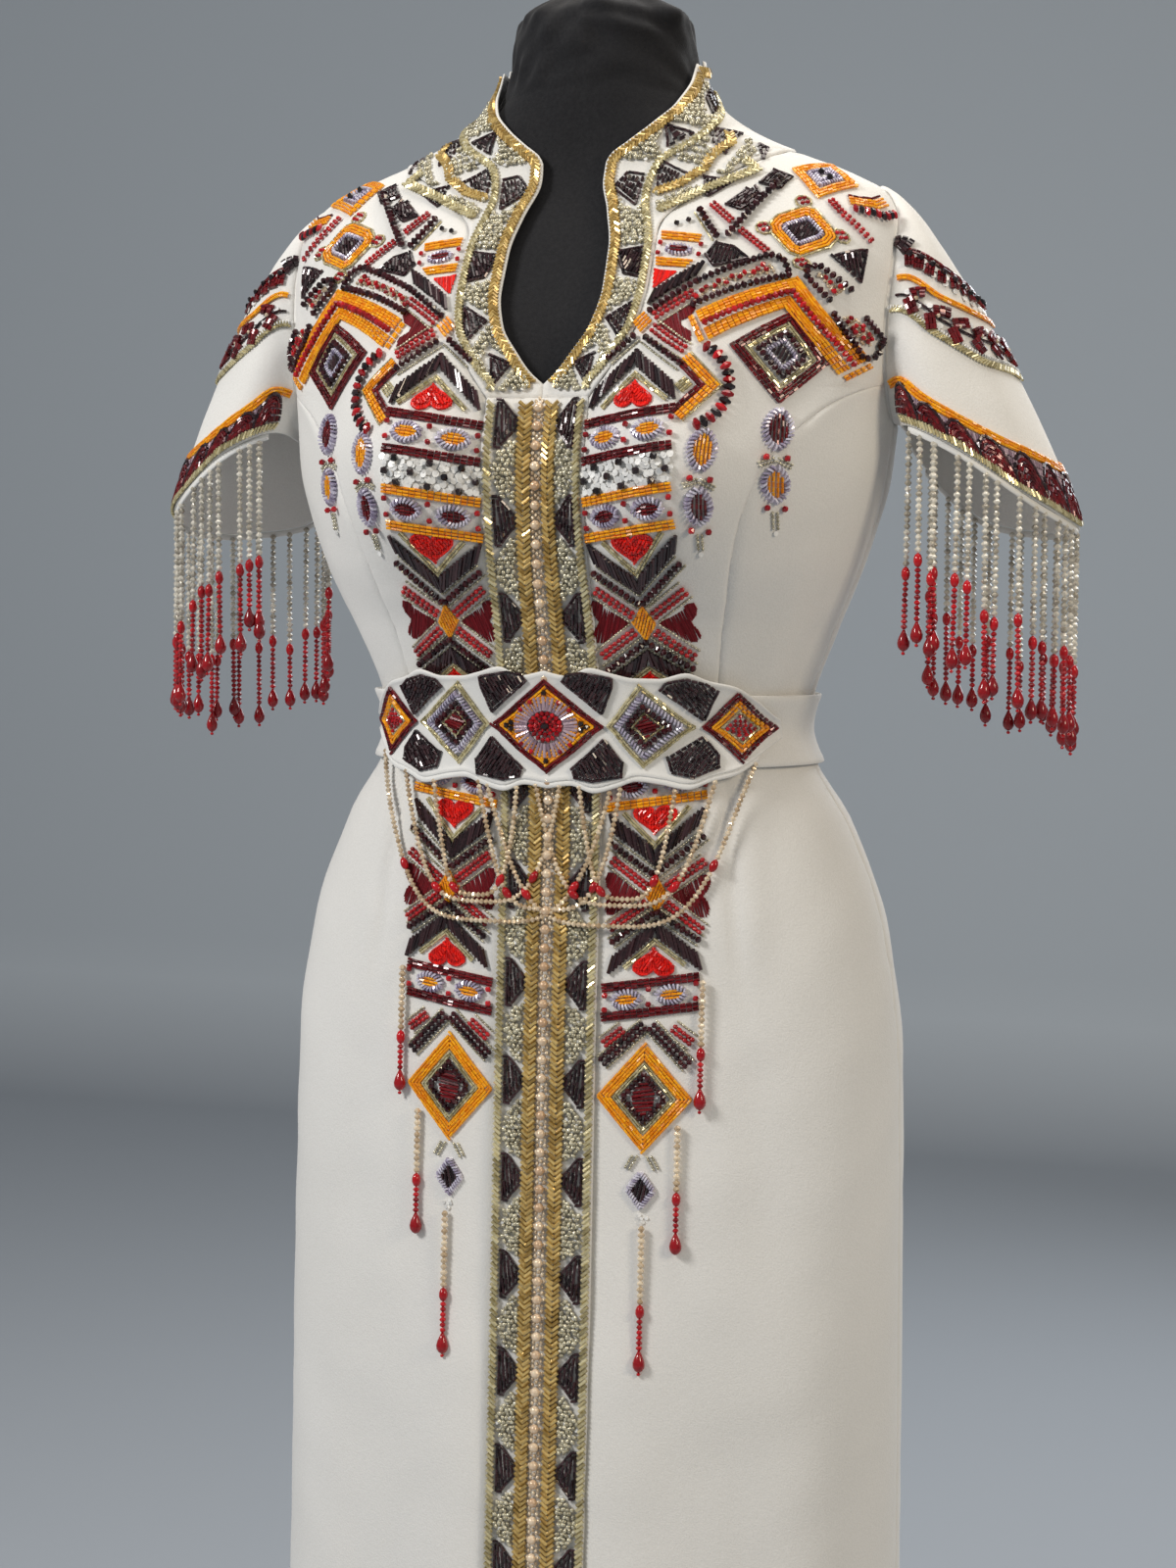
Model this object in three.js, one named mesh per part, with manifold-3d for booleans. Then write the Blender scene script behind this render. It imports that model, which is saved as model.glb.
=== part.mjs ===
// Kabyle dress on a limbless dress form, millimetres, +Z up, front towards -Y, +X to the viewer's right.
// Every garment piece is a thin wall shaped on one worn surface. That surface is a stack of level
// rounded sections with two bust swells. The right-hand pieces are made first and the left-hand
// pieces mirror them. Thick beadwork stands up out of the outer face of its piece.
import * as THREE from 'three';
import Module from 'manifold-3d';

const wasm = await Module();
wasm.setup();

// ---------- cloth and gaps ----------
const clothWall = 1.6;
const seamGap = 0.36;
const padRoot = 1;
const padStep = 17;
const formClearance = 6.5;

// ---------- heights ----------
const hemZ = 30;
const waistZ = 1060;
const underarmZ = 1255;
const shoulderTipZ = 1407;
const neckbandMeetsShoulderZ = 1428.2;
const neckSeamZ = 1452;
const collarSideZ = 1492;
const collarBackZ = 1500;
const bandHalfWidth = 32.5;

// ---------- colours ----------
const colours = {
  crepe: 0xf1ede6,
  crepeBand: 0xcdb98a,
  crepeBelt: 0xf3efe8,
  plaque: 0x8a2f2c,
  jersey: 0x17171a,
  pearl: 0xd9bd93,
  redGlass: 0x9c1322,
  steel: 0xb9bbbe,
  baseMetal: 0x2a2a2d,
};

// Worn surface: level sections, with power 2 as an ellipse and more as a squarer one.
const sections = [
  { z: 30, half: 220, front: 144, back: 144, centre: 12, power: 2.15 },
  { z: 300, half: 214, front: 132, back: 140, centre: 12, power: 2.15 },
  { z: 500, half: 211, front: 123, back: 136, centre: 12, power: 2.15 },
  { z: 700, half: 209, front: 114, back: 134, centre: 12, power: 2.2 },
  { z: 850, half: 206, front: 109, back: 135, centre: 12, power: 2.25 },
  { z: 930, half: 195, front: 105, back: 130, centre: 12, power: 2.25 },
  { z: 1000, half: 170, front: 101, back: 114, centre: 12, power: 2.2 },
  { z: 1040, half: 146, front: 102, back: 100, centre: 12, power: 2.15 },
  { z: 1060, half: 140, front: 104, back: 92, centre: 12, power: 2.1 },
  { z: 1080, half: 145, front: 103, back: 92, centre: 8, power: 2.1 },
  { z: 1120, half: 160, front: 106, back: 97, centre: 2, power: 2.15 },
  { z: 1170, half: 181, front: 110, back: 105, centre: -4, power: 2.25 },
  { z: 1223, half: 196, front: 110, back: 108, centre: -6, power: 2.35 },
  { z: 1260, half: 200, front: 106, back: 108, centre: -5, power: 2.45 },
  { z: 1310, half: 204, front: 100, back: 106, centre: -2, power: 2.6 },
  { z: 1350, half: 207, front: 88, back: 102, centre: 1, power: 2.6 },
  { z: 1380, half: 205, front: 76, back: 94, centre: 4, power: 2.5 },
  { z: 1400, half: 194, front: 68, back: 84, centre: 8, power: 2.35 },
  { z: 1415, half: 168, front: 64, back: 76, centre: 10, power: 2.2 },
  { z: 1430, half: 132, front: 62, back: 70, centre: 11, power: 2.1 },
  { z: 1445, half: 100, front: 62, back: 67, centre: 12, power: 2.05 },
  { z: 1460, half: 80, front: 62, back: 65, centre: 12, power: 2 },
  { z: 1480, half: 69, front: 62, back: 63, centre: 13, power: 2 },
  { z: 1500, half: 66, front: 62, back: 62, centre: 13, power: 2 },
  { z: 1600, half: 65, front: 62, back: 62, centre: 13, power: 2 },
];
const bust = { x: 88, z: 1215, across: 62, above: 95, below: 62, swell: 44 };

// Smooth reading of one column of a table against another, without overshoot.
function makeCurve(table, from, to) {
  const t = table.map((row) => row[from]);
  const v = table.map((row) => row[to]);
  const slope = t.slice(1).map((value, i) => (v[i + 1] - v[i]) / (value - t[i]));
  const tangent = v.map((value, i) => {
    if (i === 0) return slope[0];
    if (i === v.length - 1) return slope[i - 1];
    const product = slope[i - 1] * slope[i];
    return product > 0 ? (2 * product) / (slope[i - 1] + slope[i]) : 0;
  });
  return (at) => {
    const x = Math.min(Math.max(at, t[0]), t[t.length - 1]);
    let i = 0;
    while (i < t.length - 2 && x > t[i + 1]) i += 1;
    const h = t[i + 1] - t[i];
    const s = (x - t[i]) / h;
    const s2 = s * s;
    const s3 = s2 * s;
    const a = (2 * s3 - 3 * s2 + 1) * v[i] + (s3 - 2 * s2 + s) * h * tangent[i];
    const b = (-2 * s3 + 3 * s2) * v[i + 1] + (s3 - s2) * h * tangent[i + 1];
    return a + b;
  };
}

const halfAt = makeCurve(sections, 'z', 'half');
const frontAt = makeCurve(sections, 'z', 'front');
const backAt = makeCurve(sections, 'z', 'back');
const centreAt = makeCurve(sections, 'z', 'centre');
const powerAt = makeCurve(sections, 'z', 'power');
const degrees = (value) => (value * Math.PI) / 180;

function bustSwell(x, z) {
  const spread = z > bust.z ? bust.above : bust.below;
  const upright = Math.exp(-(((z - bust.z) / spread) ** 2));
  const right = Math.exp(-(((x - bust.x) / bust.across) ** 2));
  const left = Math.exp(-(((x + bust.x) / bust.across) ** 2));
  return bust.swell * upright * Math.max(right, left);
}

// Point of the worn surface. Turn 0 is centre front, 90 degrees the right side seam, 180 centre back.
function wornPoint(turn, z, grow = 0) {
  const s = Math.sin(turn);
  const c = Math.cos(turn);
  const k = 2 / powerAt(z);
  const x = (halfAt(z) + grow) * Math.sign(s) * Math.abs(s) ** k;
  const depth = c > 0 ? -(frontAt(z) + grow) : backAt(z) + grow;
  const swell = c > 0 ? bustSwell(x, z) * Math.sqrt(c) : 0;
  return new THREE.Vector3(x, depth * Math.abs(c) ** k + centreAt(z) - swell, z);
}

function wornNormal(turn, z) {
  const du = wornPoint(turn + 0.02, z).sub(wornPoint(turn - 0.02, z));
  const dv = wornPoint(turn, z + 1).sub(wornPoint(turn, z - 1));
  return du.cross(dv).normalize();
}

// Turn at which the front of a level section stands at a given distance x from the middle.
function turnAtX(x, z) {
  const share = Math.min(Math.abs(x) / halfAt(z), 1);
  return Math.sign(x) * Math.asin(share ** (powerAt(z) / 2));
}

// Turn moved along the section by a true distance.
function stepTurn(turn, z, distance) {
  const start = wornPoint(turn, z);
  const way = Math.sign(distance);
  let low = 0;
  let high = 0.6;
  for (let i = 0; i < 30; i += 1) {
    const mid = (low + high) / 2;
    const gone = wornPoint(turn + way * mid, z).distanceTo(start);
    if (gone < Math.abs(distance)) low = mid;
    else high = mid;
  }
  return turn + (way * (low + high)) / 2;
}

// Front surface by distance x and a drape height. Above drapeFold the height is measured over the shoulder.
const drapeFold = 1300;
const drapeRadius = 100;
function drape(x, height) {
  let z = height;
  if (height > drapeFold) {
    const lift = (height - drapeFold) / drapeRadius;
    let low = 0;
    let high = 220;
    for (let i = 0; i < 34; i += 1) {
      const mid = (low + high) / 2;
      const zMid = drapeFold + mid * Math.sin(lift);
      const inside = Math.abs(x) < halfAt(zMid)
        && -mid * Math.cos(lift) > wornPoint(turnAtX(x, zMid), zMid).y;
      if (inside) low = mid;
      else high = mid;
    }
    z = drapeFold + low * Math.sin(lift);
  }
  const turn = turnAtX(x, z);
  return { point: wornPoint(turn, z), normal: wornNormal(turn, z) };
}

// ---------- solids ----------
function toManifold(points, faces) {
  const vertProperties = new Float32Array(points.flatMap((p) => [p.x, p.y, p.z]));
  const triVerts = new Uint32Array(faces.flat());
  const mesh = new wasm.Mesh({ numProp: 3, vertProperties, triVerts });
  mesh.merge();
  return new wasm.Manifold(mesh);
}

// Wall between an outer and an inner grid of points, each [row][column], closed on all its edges.
function gridSolid(outer, inner, wraps = false) {
  const rows = outer.length;
  const cols = outer[0].length;
  const points = [...outer.flat(), ...inner.flat()];
  const faces = [];
  const o = (r, c) => r * cols + (c % cols);
  const n = (r, c) => rows * cols + r * cols + (c % cols);
  const quad = (a, b, c, d) => faces.push([a, b, c], [a, c, d]);
  const spans = wraps ? cols : cols - 1;
  for (let r = 0; r < rows - 1; r += 1) {
    for (let c = 0; c < spans; c += 1) {
      quad(o(r, c), o(r, c + 1), o(r + 1, c + 1), o(r + 1, c));
      quad(n(r, c), n(r + 1, c), n(r + 1, c + 1), n(r, c + 1));
    }
    if (!wraps) {
      quad(o(r, 0), o(r + 1, 0), n(r + 1, 0), n(r, 0));
      quad(o(r, cols - 1), n(r, cols - 1), n(r + 1, cols - 1), o(r + 1, cols - 1));
    }
  }
  for (let c = 0; c < spans; c += 1) {
    quad(o(0, c), n(0, c), n(0, c + 1), o(0, c + 1));
    quad(o(rows - 1, c), o(rows - 1, c + 1), n(rows - 1, c + 1), n(rows - 1, c));
  }
  return outwards(points, faces);
}

// Piece of cloth: rows of heights, each from a left turn to a right turn. The columns stand in shares
// of its width, unless the piece has its own rule for them.
function clothPiece({ heights, left, right, shares, columns, relief = () => 0 }) {
  const evenly = (from, to) => shares.map((share) => from + (to - from) * share);
  const outer = [];
  const inner = [];
  heights.forEach((z) => {
    const cut = columns ? columns(left(z), right(z), z) : evenly(left(z), right(z));
    const moved = (lift) => cut.map((turn, i) => (
      wornPoint(turn, z).addScaledVector(wornNormal(turn, z), lift(i))
    ));
    outer.push(moved((i) => relief(i, z)));
    inner.push(moved(() => -clothWall));
  });
  return gridSolid(outer, inner);
}

const spread = (from, to, count) => Array.from({ length: count + 1 }, (_, i) => from + ((to - from) * i) / count);

function densify(path, closed, step = padStep) {
  const result = [];
  const last = closed ? path.length : path.length - 1;
  for (let i = 0; i < last; i += 1) {
    const a = path[i];
    const b = path[(i + 1) % path.length];
    const parts = Math.max(1, Math.ceil(Math.hypot(b[0] - a[0], b[1] - a[1]) / step));
    for (let k = 0; k < parts; k += 1) {
      result.push([a[0] + ((b[0] - a[0]) * k) / parts, a[1] + ((b[1] - a[1]) * k) / parts]);
    }
  }
  if (!closed) result.push(path[path.length - 1]);
  return result;
}

// Raised pad with a closed outline in [x, drape height], rooted in the wall under it.
function filledPad(outline, rise, base = 0, step = padStep) {
  const rim = densify(outline, true, step);
  const mid = [0, 1].map((k) => rim.reduce((sum, p) => sum + p[k], 0) / rim.length);
  const flat = [...rim, mid];
  const count = rim.length;
  const lifted = (height) => flat.map((p) => {
    const { point, normal } = drape(p[0], p[1]);
    return point.addScaledVector(normal, base + height);
  });
  const points = [...lifted(rise), ...lifted(-padRoot)];
  const under = flat.length;
  const faces = [];
  for (let i = 0; i < count; i += 1) {
    const j = (i + 1) % count;
    faces.push([i, j, count], [under + j, under + i, under + count]);
    faces.push([i, under + i, under + j], [i, under + j, j]);
  }
  return outwards(points, faces);
}

// Raised bar of even width along a path in [x, drape height].
function barPad(path, width, rise, base = 0) {
  const line = densify(path, false);
  const side = line.map((p, i) => {
    const a = line[Math.max(i - 1, 0)];
    const b = line[Math.min(i + 1, line.length - 1)];
    const d = Math.hypot(b[0] - a[0], b[1] - a[1]);
    const across = [-(b[1] - a[1]) / d, (b[0] - a[0]) / d];
    return [1, -1].map((s) => [p[0] + (s * across[0] * width) / 2, p[1] + (s * across[1] * width) / 2]);
  });
  const rows = [1, 0].map((top) => side.map((pair) => pair.map((p) => {
    const { point, normal } = drape(p[0], p[1]);
    return point.addScaledVector(normal, base + (top ? rise : -padRoot));
  })));
  const points = [...rows[0].flat(), ...rows[1].flat()];
  const under = line.length * 2;
  const faces = [];
  const quad = (a, b, c, d) => faces.push([a, b, c], [a, c, d]);
  for (let i = 0; i < line.length - 1; i += 1) {
    const k = 2 * i;
    quad(k, k + 2, k + 3, k + 1);
    quad(under + k, under + k + 1, under + k + 3, under + k + 2);
    quad(k, under + k, under + k + 2, k + 2);
    quad(k + 1, k + 3, under + k + 3, under + k + 1);
  }
  const end = 2 * (line.length - 1);
  quad(0, 1, under + 1, under);
  quad(end, under + end, under + end + 1, end + 1);
  return outwards(points, faces);
}

function outwards(points, faces) {
  const volume = faces.reduce((sum, [a, b, c]) => {
    const cross = points[b].clone().cross(points[c]);
    return sum + points[a].dot(cross);
  }, 0);
  const turned = volume < 0 ? faces.map(([a, b, c]) => [a, c, b]) : faces;
  return toManifold(points, turned);
}

function addPads(piece, pads) {
  return pads.reduce((whole, pad) => whole.add(pad), piece);
}

const group = new THREE.Group();
group.name = 'kabyle_dress';

function addNode(name, solid, colour, roughness, metalness = 0) {
  const mesh = solid.getMesh();
  const geometry = new THREE.BufferGeometry();
  const positions = new Float32Array(mesh.numVert * 3);
  for (let i = 0; i < mesh.numVert; i += 1) {
    for (let k = 0; k < 3; k += 1) positions[i * 3 + k] = mesh.vertProperties[i * mesh.numProp + k];
  }
  geometry.setAttribute('position', new THREE.BufferAttribute(positions, 3));
  geometry.setIndex(new THREE.BufferAttribute(new Uint32Array(mesh.triVerts), 1));
  geometry.computeVertexNormals();
  const material = new THREE.MeshStandardMaterial({ color: colour, roughness, metalness });
  const node = new THREE.Mesh(geometry, material);
  node.name = name;
  group.add(node);
}

const mirrored = (solid) => solid.mirror([1, 0, 0]);

function addPair(name, solid, colour, roughness) {
  addNode(`${name}_right`, solid, colour, roughness);
  addNode(`${name}_left`, mirrored(solid), colour, roughness);
}

// ---------- seam lines on the right side ----------
// Half width of the keyhole and, above it, of the collar's front edge.
const keyholeTable = [
  { z: 1274, x: 0 }, { z: 1282, x: 9 }, { z: 1294, x: 18 }, { z: 1310, x: 28 }, { z: 1334, x: 33 },
  { z: 1360, x: 32.5 }, { z: 1385, x: 27 }, { z: 1407, x: 20.5 }, { z: 1418, x: 21 }, { z: 1424, x: 24 },
  { z: 1432, x: 34 }, { z: 1444, x: 48 }, { z: 1458, x: 60 }, { z: 1475, x: 65 }, { z: 1492, x: 65.8 },
];
// Outer edge of the neckband, which ends on the shoulder seam.
const neckbandTable = [
  { z: 1265, x: 32.5 }, { z: 1288, x: 48 }, { z: 1311, x: 59 }, { z: 1337, x: 62 }, { z: 1372, x: 62 },
  { z: 1394, x: 78 }, { z: 1413, x: 105 }, { z: 1424, x: 124 }, { z: 1430, x: 130 },
];
const princessTable = [
  { z: 1060, x: 101 }, { z: 1088, x: 103 }, { z: 1157, x: 117 }, { z: 1226, x: 141 }, { z: 1262, x: 171 },
  { z: 1278, x: 198 },
];
const keyholeX = makeCurve(keyholeTable, 'z', 'x');
const neckbandX = makeCurve(neckbandTable, 'z', 'x');
const princessX = makeCurve(princessTable, 'z', 'x');

// Armhole: a ring in height, reaching further round the back than the front.
const armhole = { middle: 1331, radius: 76, frontReach: 16, backReach: 28, steps: 12 };
const armholeBulge = (z) => Math.sqrt(Math.max(0, 1 - ((z - armhole.middle) / armhole.radius) ** 2));
const armholeHeights = Array.from({ length: armhole.steps + 1 }, (_, i) => (
  armhole.middle - armhole.radius * Math.cos((Math.PI * i) / armhole.steps)
));
const armholeFront = (z) => degrees(90 - armhole.frontReach * armholeBulge(z));
const armholeBack = (z) => degrees(90 + armhole.backReach * armholeBulge(z));
const inArmhole = (z) => z > underarmZ - 0.01 && z < shoulderTipZ + 0.01;
const halfGap = seamGap / 2;
const bandTopZ = armholeHeights[2];
const princessTopZ = armholeHeights[3];
const princessTurn = (z) => {
  const seam = turnAtX(princessX(z), z);
  return z < underarmZ ? seam : Math.min(seam, stepTurn(armholeFront(z), z, -2.4));
};

const ridgeHeights = [1415, 1423, 1428];
const neckJoin = 0.3;

// ---------- beadwork raised from the right-hand pieces, as [x, drape height] ----------
const rise = { bar: 1.4, thick: 1.8, leaf: 1.2 };
const diamond = (x, y, halfWide, halfTall) => [[x + halfWide, y], [x, y + halfTall], [x - halfWide, y], [x, y - halfTall]];

// Bead rows of the two strips, by height. Their middle columns stand out of the cloth.
const stripColumns = { inner: 37, middle: 64, outer: 91, rise: 1.4 };
const bodiceBeadRows = [1107, 1128, 1151, 1183, 1206, 1231, underarmZ];
const bodicePlainRows = [1078, 1092, 1118, 1139, 1167, 1194, 1218, 1243];
const skirtBeadRows = [1016, 980, 960, 942, 904, 884, 831, 773];
const skirtPlainRows = [1042, 1005, 993, 970, 951, 921, 866, 796, 750];
const bodiceBars = [
  { path: [[99, 1308], [150, 1345], [186, 1292]], width: 16 },
];
const bodiceFills = [
  { outline: [[118, 1294], [151, 1261], [175, 1292], [150, 1321]], rise: rise.thick },
  { outline: diamond(148, 1388, 19, 17), rise: rise.thick },
];
const makePads = (bars, fills) => [
  ...bars.map((b) => barPad(b.path, b.width, rise.bar)),
  ...fills.map((f) => filledPad(f.outline, f.rise)),
];

// ---------- bodice ----------
const sorted = (rows) => rows.slice().sort((a, b) => a - b);
const bodiceHeights = sorted([waistZ + halfGap, ...bodiceBeadRows.slice(0, -1), ...bodicePlainRows, ...armholeHeights]);
const centreEdge = (z) => turnAtX(z <= bandTopZ ? bandHalfWidth : neckbandX(z), z);
const frontHeights = [...bodiceHeights, ...ridgeHeights];
const frontOuterEdge = (z) => {
  if (z === princessTopZ) return stepTurn(princessTurn(z), z, -seamGap * 1.6);
  if (z < princessTopZ) return stepTurn(princessTurn(z), z, -halfGap);
  if (inArmhole(z)) return stepTurn(armholeFront(z), z, -halfGap);
  return stepTurn(degrees(90), z, -halfGap);
};
// Columns along the strip's edges and middle, then even ones out to the seam. Above the strip they ease to even.
const stripTop = { from: 1257, to: 1290 };
function stripColumnTurns(from, to, z) {
  const { inner, middle, outer } = stripColumns;
  const marks = [from, turnAtX(inner, z), turnAtX(middle, z), turnAtX(outer, z)];
  const rest = [1, 2, 3].map((k) => marks[3] + ((to - marks[3]) * k) / 3);
  const ease = Math.min(Math.max((z - stripTop.from) / (stripTop.to - stripTop.from), 0), 1);
  return [...marks, ...rest].map((turn, i) => turn * (1 - ease) + (from + ((to - from) * i) / 6) * ease);
}
const stripRelief = (rows) => (column, z) => (
  column > 0 && column < 4 && rows.includes(z) ? stripColumns.rise * (column === 2 ? 1.2 : 1) : 0
);
const bodiceFront = addPads(clothPiece({
  heights: frontHeights,
  left: (z) => stepTurn(centreEdge(z), z, halfGap),
  right: frontOuterEdge,
  columns: stripColumnTurns,
  relief: stripRelief(bodiceBeadRows),
}), makePads(bodiceBars, bodiceFills));
addPair('bodice_front', bodiceFront, colours.crepe, 0.85);

const bodiceSide = clothPiece({
  heights: bodiceHeights.filter((z) => z <= princessTopZ),
  left: (z) => stepTurn(princessTurn(z), z, halfGap),
  right: (z) => stepTurn(z > underarmZ ? armholeFront(z) : degrees(90), z, -halfGap),
  shares: spread(0, 1, 3),
});
addPair('bodice_side', bodiceSide, colours.crepe, 0.85);

const backHeights = [
  waistZ + halfGap, 1078, 1092, 1118, 1151, 1194, 1231, ...armholeHeights, 1416, 1427, 1439, neckSeamZ - neckJoin,
];
const backShares = spread(0, 1, 6);
const bodiceBack = clothPiece({
  heights: backHeights,
  left: (z) => stepTurn(inArmhole(z) ? armholeBack(z) : degrees(90), z, halfGap),
  right: (z) => stepTurn(degrees(180), z, -halfGap),
  shares: backShares,
});
addPair('bodice_back', bodiceBack, colours.crepe, 0.85);

// ---------- neckband and collar ----------
const railShares = [0, 0.09, 0.14, 0.5, 0.86, 0.91, 1];
const railRelief = (column) => (column < 2 || column > 4 ? 1 : 0.3);
const neckHeights = [
  bandTopZ + neckJoin, ...armholeHeights.slice(3), ...ridgeHeights,
  ridgeHeights[2] + 0.5, 1441, neckSeamZ, 1465, collarSideZ - 4,
];
const neckbandPads = [
  [[49, 1300], [55, 1322], [40, 1314]], [[40, 1344], [56, 1352], [54, 1332]], [[38, 1382], [54, 1388], [52, 1368]],
];
const neckband = addPads(clothPiece({
  heights: neckHeights,
  left: (z) => stepTurn(turnAtX(keyholeX(z), z), z, halfGap),
  right: (z) => stepTurn(z < neckbandMeetsShoulderZ ? turnAtX(neckbandX(z), z) : degrees(90), z, -halfGap),
  shares: railShares,
  relief: railRelief,
}), neckbandPads.map((outline) => filledPad(outline, 1.5)));
addPair('neckband', neckband, colours.crepeBand, 0.6);

const collarTop = (turn) => collarSideZ + (collarBackZ - collarSideZ) * Math.max(0, -Math.cos(turn));
function collarGrid(depth) {
  const first = stepTurn(degrees(90), neckSeamZ, halfGap);
  const half = backShares.slice(0, -1).map((share) => first + (degrees(180) - first) * share);
  const turns = [...half, degrees(180), ...half.slice().reverse().map((turn) => degrees(360) - turn)];
  return spread(0, 1, 2).map((up) => turns.map((turn) => {
    const z = neckSeamZ + neckJoin + up * (collarTop(turn) - neckSeamZ);
    return wornPoint(turn, z).addScaledVector(wornNormal(turn, z), -depth);
  }));
}
addNode('collar_back', gridSolid(collarGrid(0), collarGrid(clothWall)), colours.crepe, 0.85);

// ---------- front band, keyhole to hem ----------
const bandColumns = [
  { x: 1, rise: 1 }, { x: 0.89, rise: 1 }, { x: 0.85, rise: 0.3 }, { x: 0.35, rise: 0.3 }, { x: 0.3, rise: 1.1 },
  { x: 0.08, rise: 1.8 },
];
const bandProfile = [
  ...bandColumns.map((c) => ({ x: -c.x, rise: c.rise })),
  ...bandColumns.slice().reverse(),
];
const beadTriangle = { pitch: 62, first: 1249, base: 26.5, apex: 12.5, halfTall: 14 };

function bandSolid(heights) {
  const grid = (inside) => heights.map((z) => bandProfile.map((column) => {
    const turn = turnAtX(column.x * (bandHalfWidth - halfGap), z);
    const lift = inside ? -clothWall : column.rise;
    return wornPoint(turn, z).addScaledVector(wornNormal(turn, z), lift);
  }));
  const top = heights[heights.length - 1];
  const pads = [];
  for (let z = beadTriangle.first; z > heights[0] + 20; z -= beadTriangle.pitch) {
    if (z + beadTriangle.halfTall < top - 1) {
      [1, -1].forEach((side) => {
        const outline = [
          [side * beadTriangle.base, z + beadTriangle.halfTall],
          [side * beadTriangle.base, z - beadTriangle.halfTall], [side * beadTriangle.apex, z],
        ];
        pads.push(filledPad(outline, 1.5, 0, beadTriangle.pitch));
      });
    }
  }
  return addPads(gridSolid(grid(false), grid(true)), pads);
}
addNode('band_upper', bandSolid(spread(waistZ + halfGap, bandTopZ - neckJoin, 8)), colours.crepeBand, 0.5);
addNode('band_lower', bandSolid([...spread(hemZ, 850, 5), ...spread(920, waistZ - halfGap, 3)]), colours.crepeBand, 0.5);

// ---------- skirt ----------
const skirtHeights = [...spread(hemZ, 710, 4), ...spread(760, waistZ - halfGap, 7)];
const skirtFront = clothPiece({
  heights: sorted([...spread(hemZ, 710, 4), ...skirtBeadRows, ...skirtPlainRows, waistZ - halfGap]),
  left: (z) => stepTurn(turnAtX(bandHalfWidth, z), z, halfGap),
  right: (z) => stepTurn(degrees(90), z, -halfGap),
  columns: stripColumnTurns,
  relief: stripRelief(skirtBeadRows),
});
addPair('skirt_front', skirtFront, colours.crepe, 0.85);

const skirtBack = clothPiece({
  heights: skirtHeights,
  left: (z) => stepTurn(degrees(90), z, halfGap),
  right: (z) => stepTurn(degrees(180), z, -halfGap),
  shares: spread(0, 1, 6),
});
addPair('skirt_back', skirtBack, colours.crepe, 0.85);

// ---------- sleeves ----------
const sleeveHem = [
  { at: 0, x: 311, y: 35, z: 1192 }, { at: 45, x: 292, y: -22, z: 1206 }, { at: 90, x: 248, y: -50, z: 1236 },
  { at: 135, x: 213, y: -42, z: 1252 }, { at: 180, x: 207, y: 0, z: 1246 }, { at: 225, x: 208, y: 48, z: 1232 },
  { at: 270, x: 240, y: 98, z: 1200 }, { at: 315, x: 293, y: 88, z: 1190 },
];
const sleeveStart = [
  { at: 0, x: 70, y: 8, z: 10 }, { at: 90, x: 70, y: -30, z: -20 }, { at: 180, x: 14, y: 0, z: -4 },
  { at: 270, x: 70, y: 40, z: -20 },
];
const sleeveEnd = [
  { at: 0, x: 40, y: 12, z: -170 }, { at: 90, x: 40, y: -8, z: -110 }, { at: 180, x: 2, y: 0, z: -14 },
  { at: 270, x: 30, y: 20, z: -120 },
];

// Closed smooth curve through the rows of a ring table.
function ringPoint(table, at) {
  const step = 360 / table.length;
  const place = ((at % 360) + 360) % 360;
  const i = Math.floor(place / step);
  const s = place / step - i;
  const row = (k) => table[(i + k + table.length) % table.length];
  const mix = (key) => {
    const [a, b, c, d] = [row(-1)[key], row(0)[key], row(1)[key], row(2)[key]];
    return b + 0.5 * s * (c - a + s * (2 * a - 5 * b + 4 * c - d + s * (3 * (b - c) + d - a)));
  };
  return new THREE.Vector3(mix('x'), mix('y'), mix('z'));
}

function sleevePoint(at, down) {
  const place = ((at % 360) + 360) % 360;
  const z = armhole.middle + armhole.radius * Math.cos(degrees(place));
  const turn = place <= 180 ? armholeFront(z) : armholeBack(z);
  const start = wornPoint(stepTurn(turn, z, place <= 180 ? halfGap : -halfGap), z);
  start.x += seamGap;
  const end = ringPoint(sleeveHem, place);
  const s2 = down * down;
  const s3 = s2 * down;
  return start.multiplyScalar(2 * s3 - 3 * s2 + 1)
    .addScaledVector(ringPoint(sleeveStart, place), s3 - 2 * s2 + down)
    .addScaledVector(end, -2 * s3 + 3 * s2)
    .addScaledVector(ringPoint(sleeveEnd, place), s3 - s2);
}

function sleeveNormal(at, down) {
  const low = Math.max(0, down - 0.02);
  const high = Math.min(1, down + 0.02);
  const along = sleevePoint(at, high).sub(sleevePoint(at, low));
  const around = sleevePoint(at + 4, down).sub(sleevePoint(at - 4, down));
  return around.cross(along).normalize();
}

const sleeveRows = [
  { down: 0, rise: 0 }, { down: 0.2, rise: 0 }, { down: 0.38, rise: 0 }, { down: 0.41, rise: 1 },
  { down: 0.6, rise: 0.9 }, { down: 0.74, rise: 0 }, { down: 0.78, rise: 1 }, { down: 1, rise: 0.8 },
];
const sleeveTurns = spread(0, 345, 23);
const sleeveGrid = (depth) => sleeveRows.slice().reverse().map((row) => sleeveTurns.map((at) => {
  const lift = depth > 0 ? -depth : row.rise;
  return sleevePoint(-at, row.down).addScaledVector(sleeveNormal(-at, row.down), lift);
}));
addPair('sleeve', gridSolid(sleeveGrid(0), sleeveGrid(clothWall), true), colours.crepe, 0.85);

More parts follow.
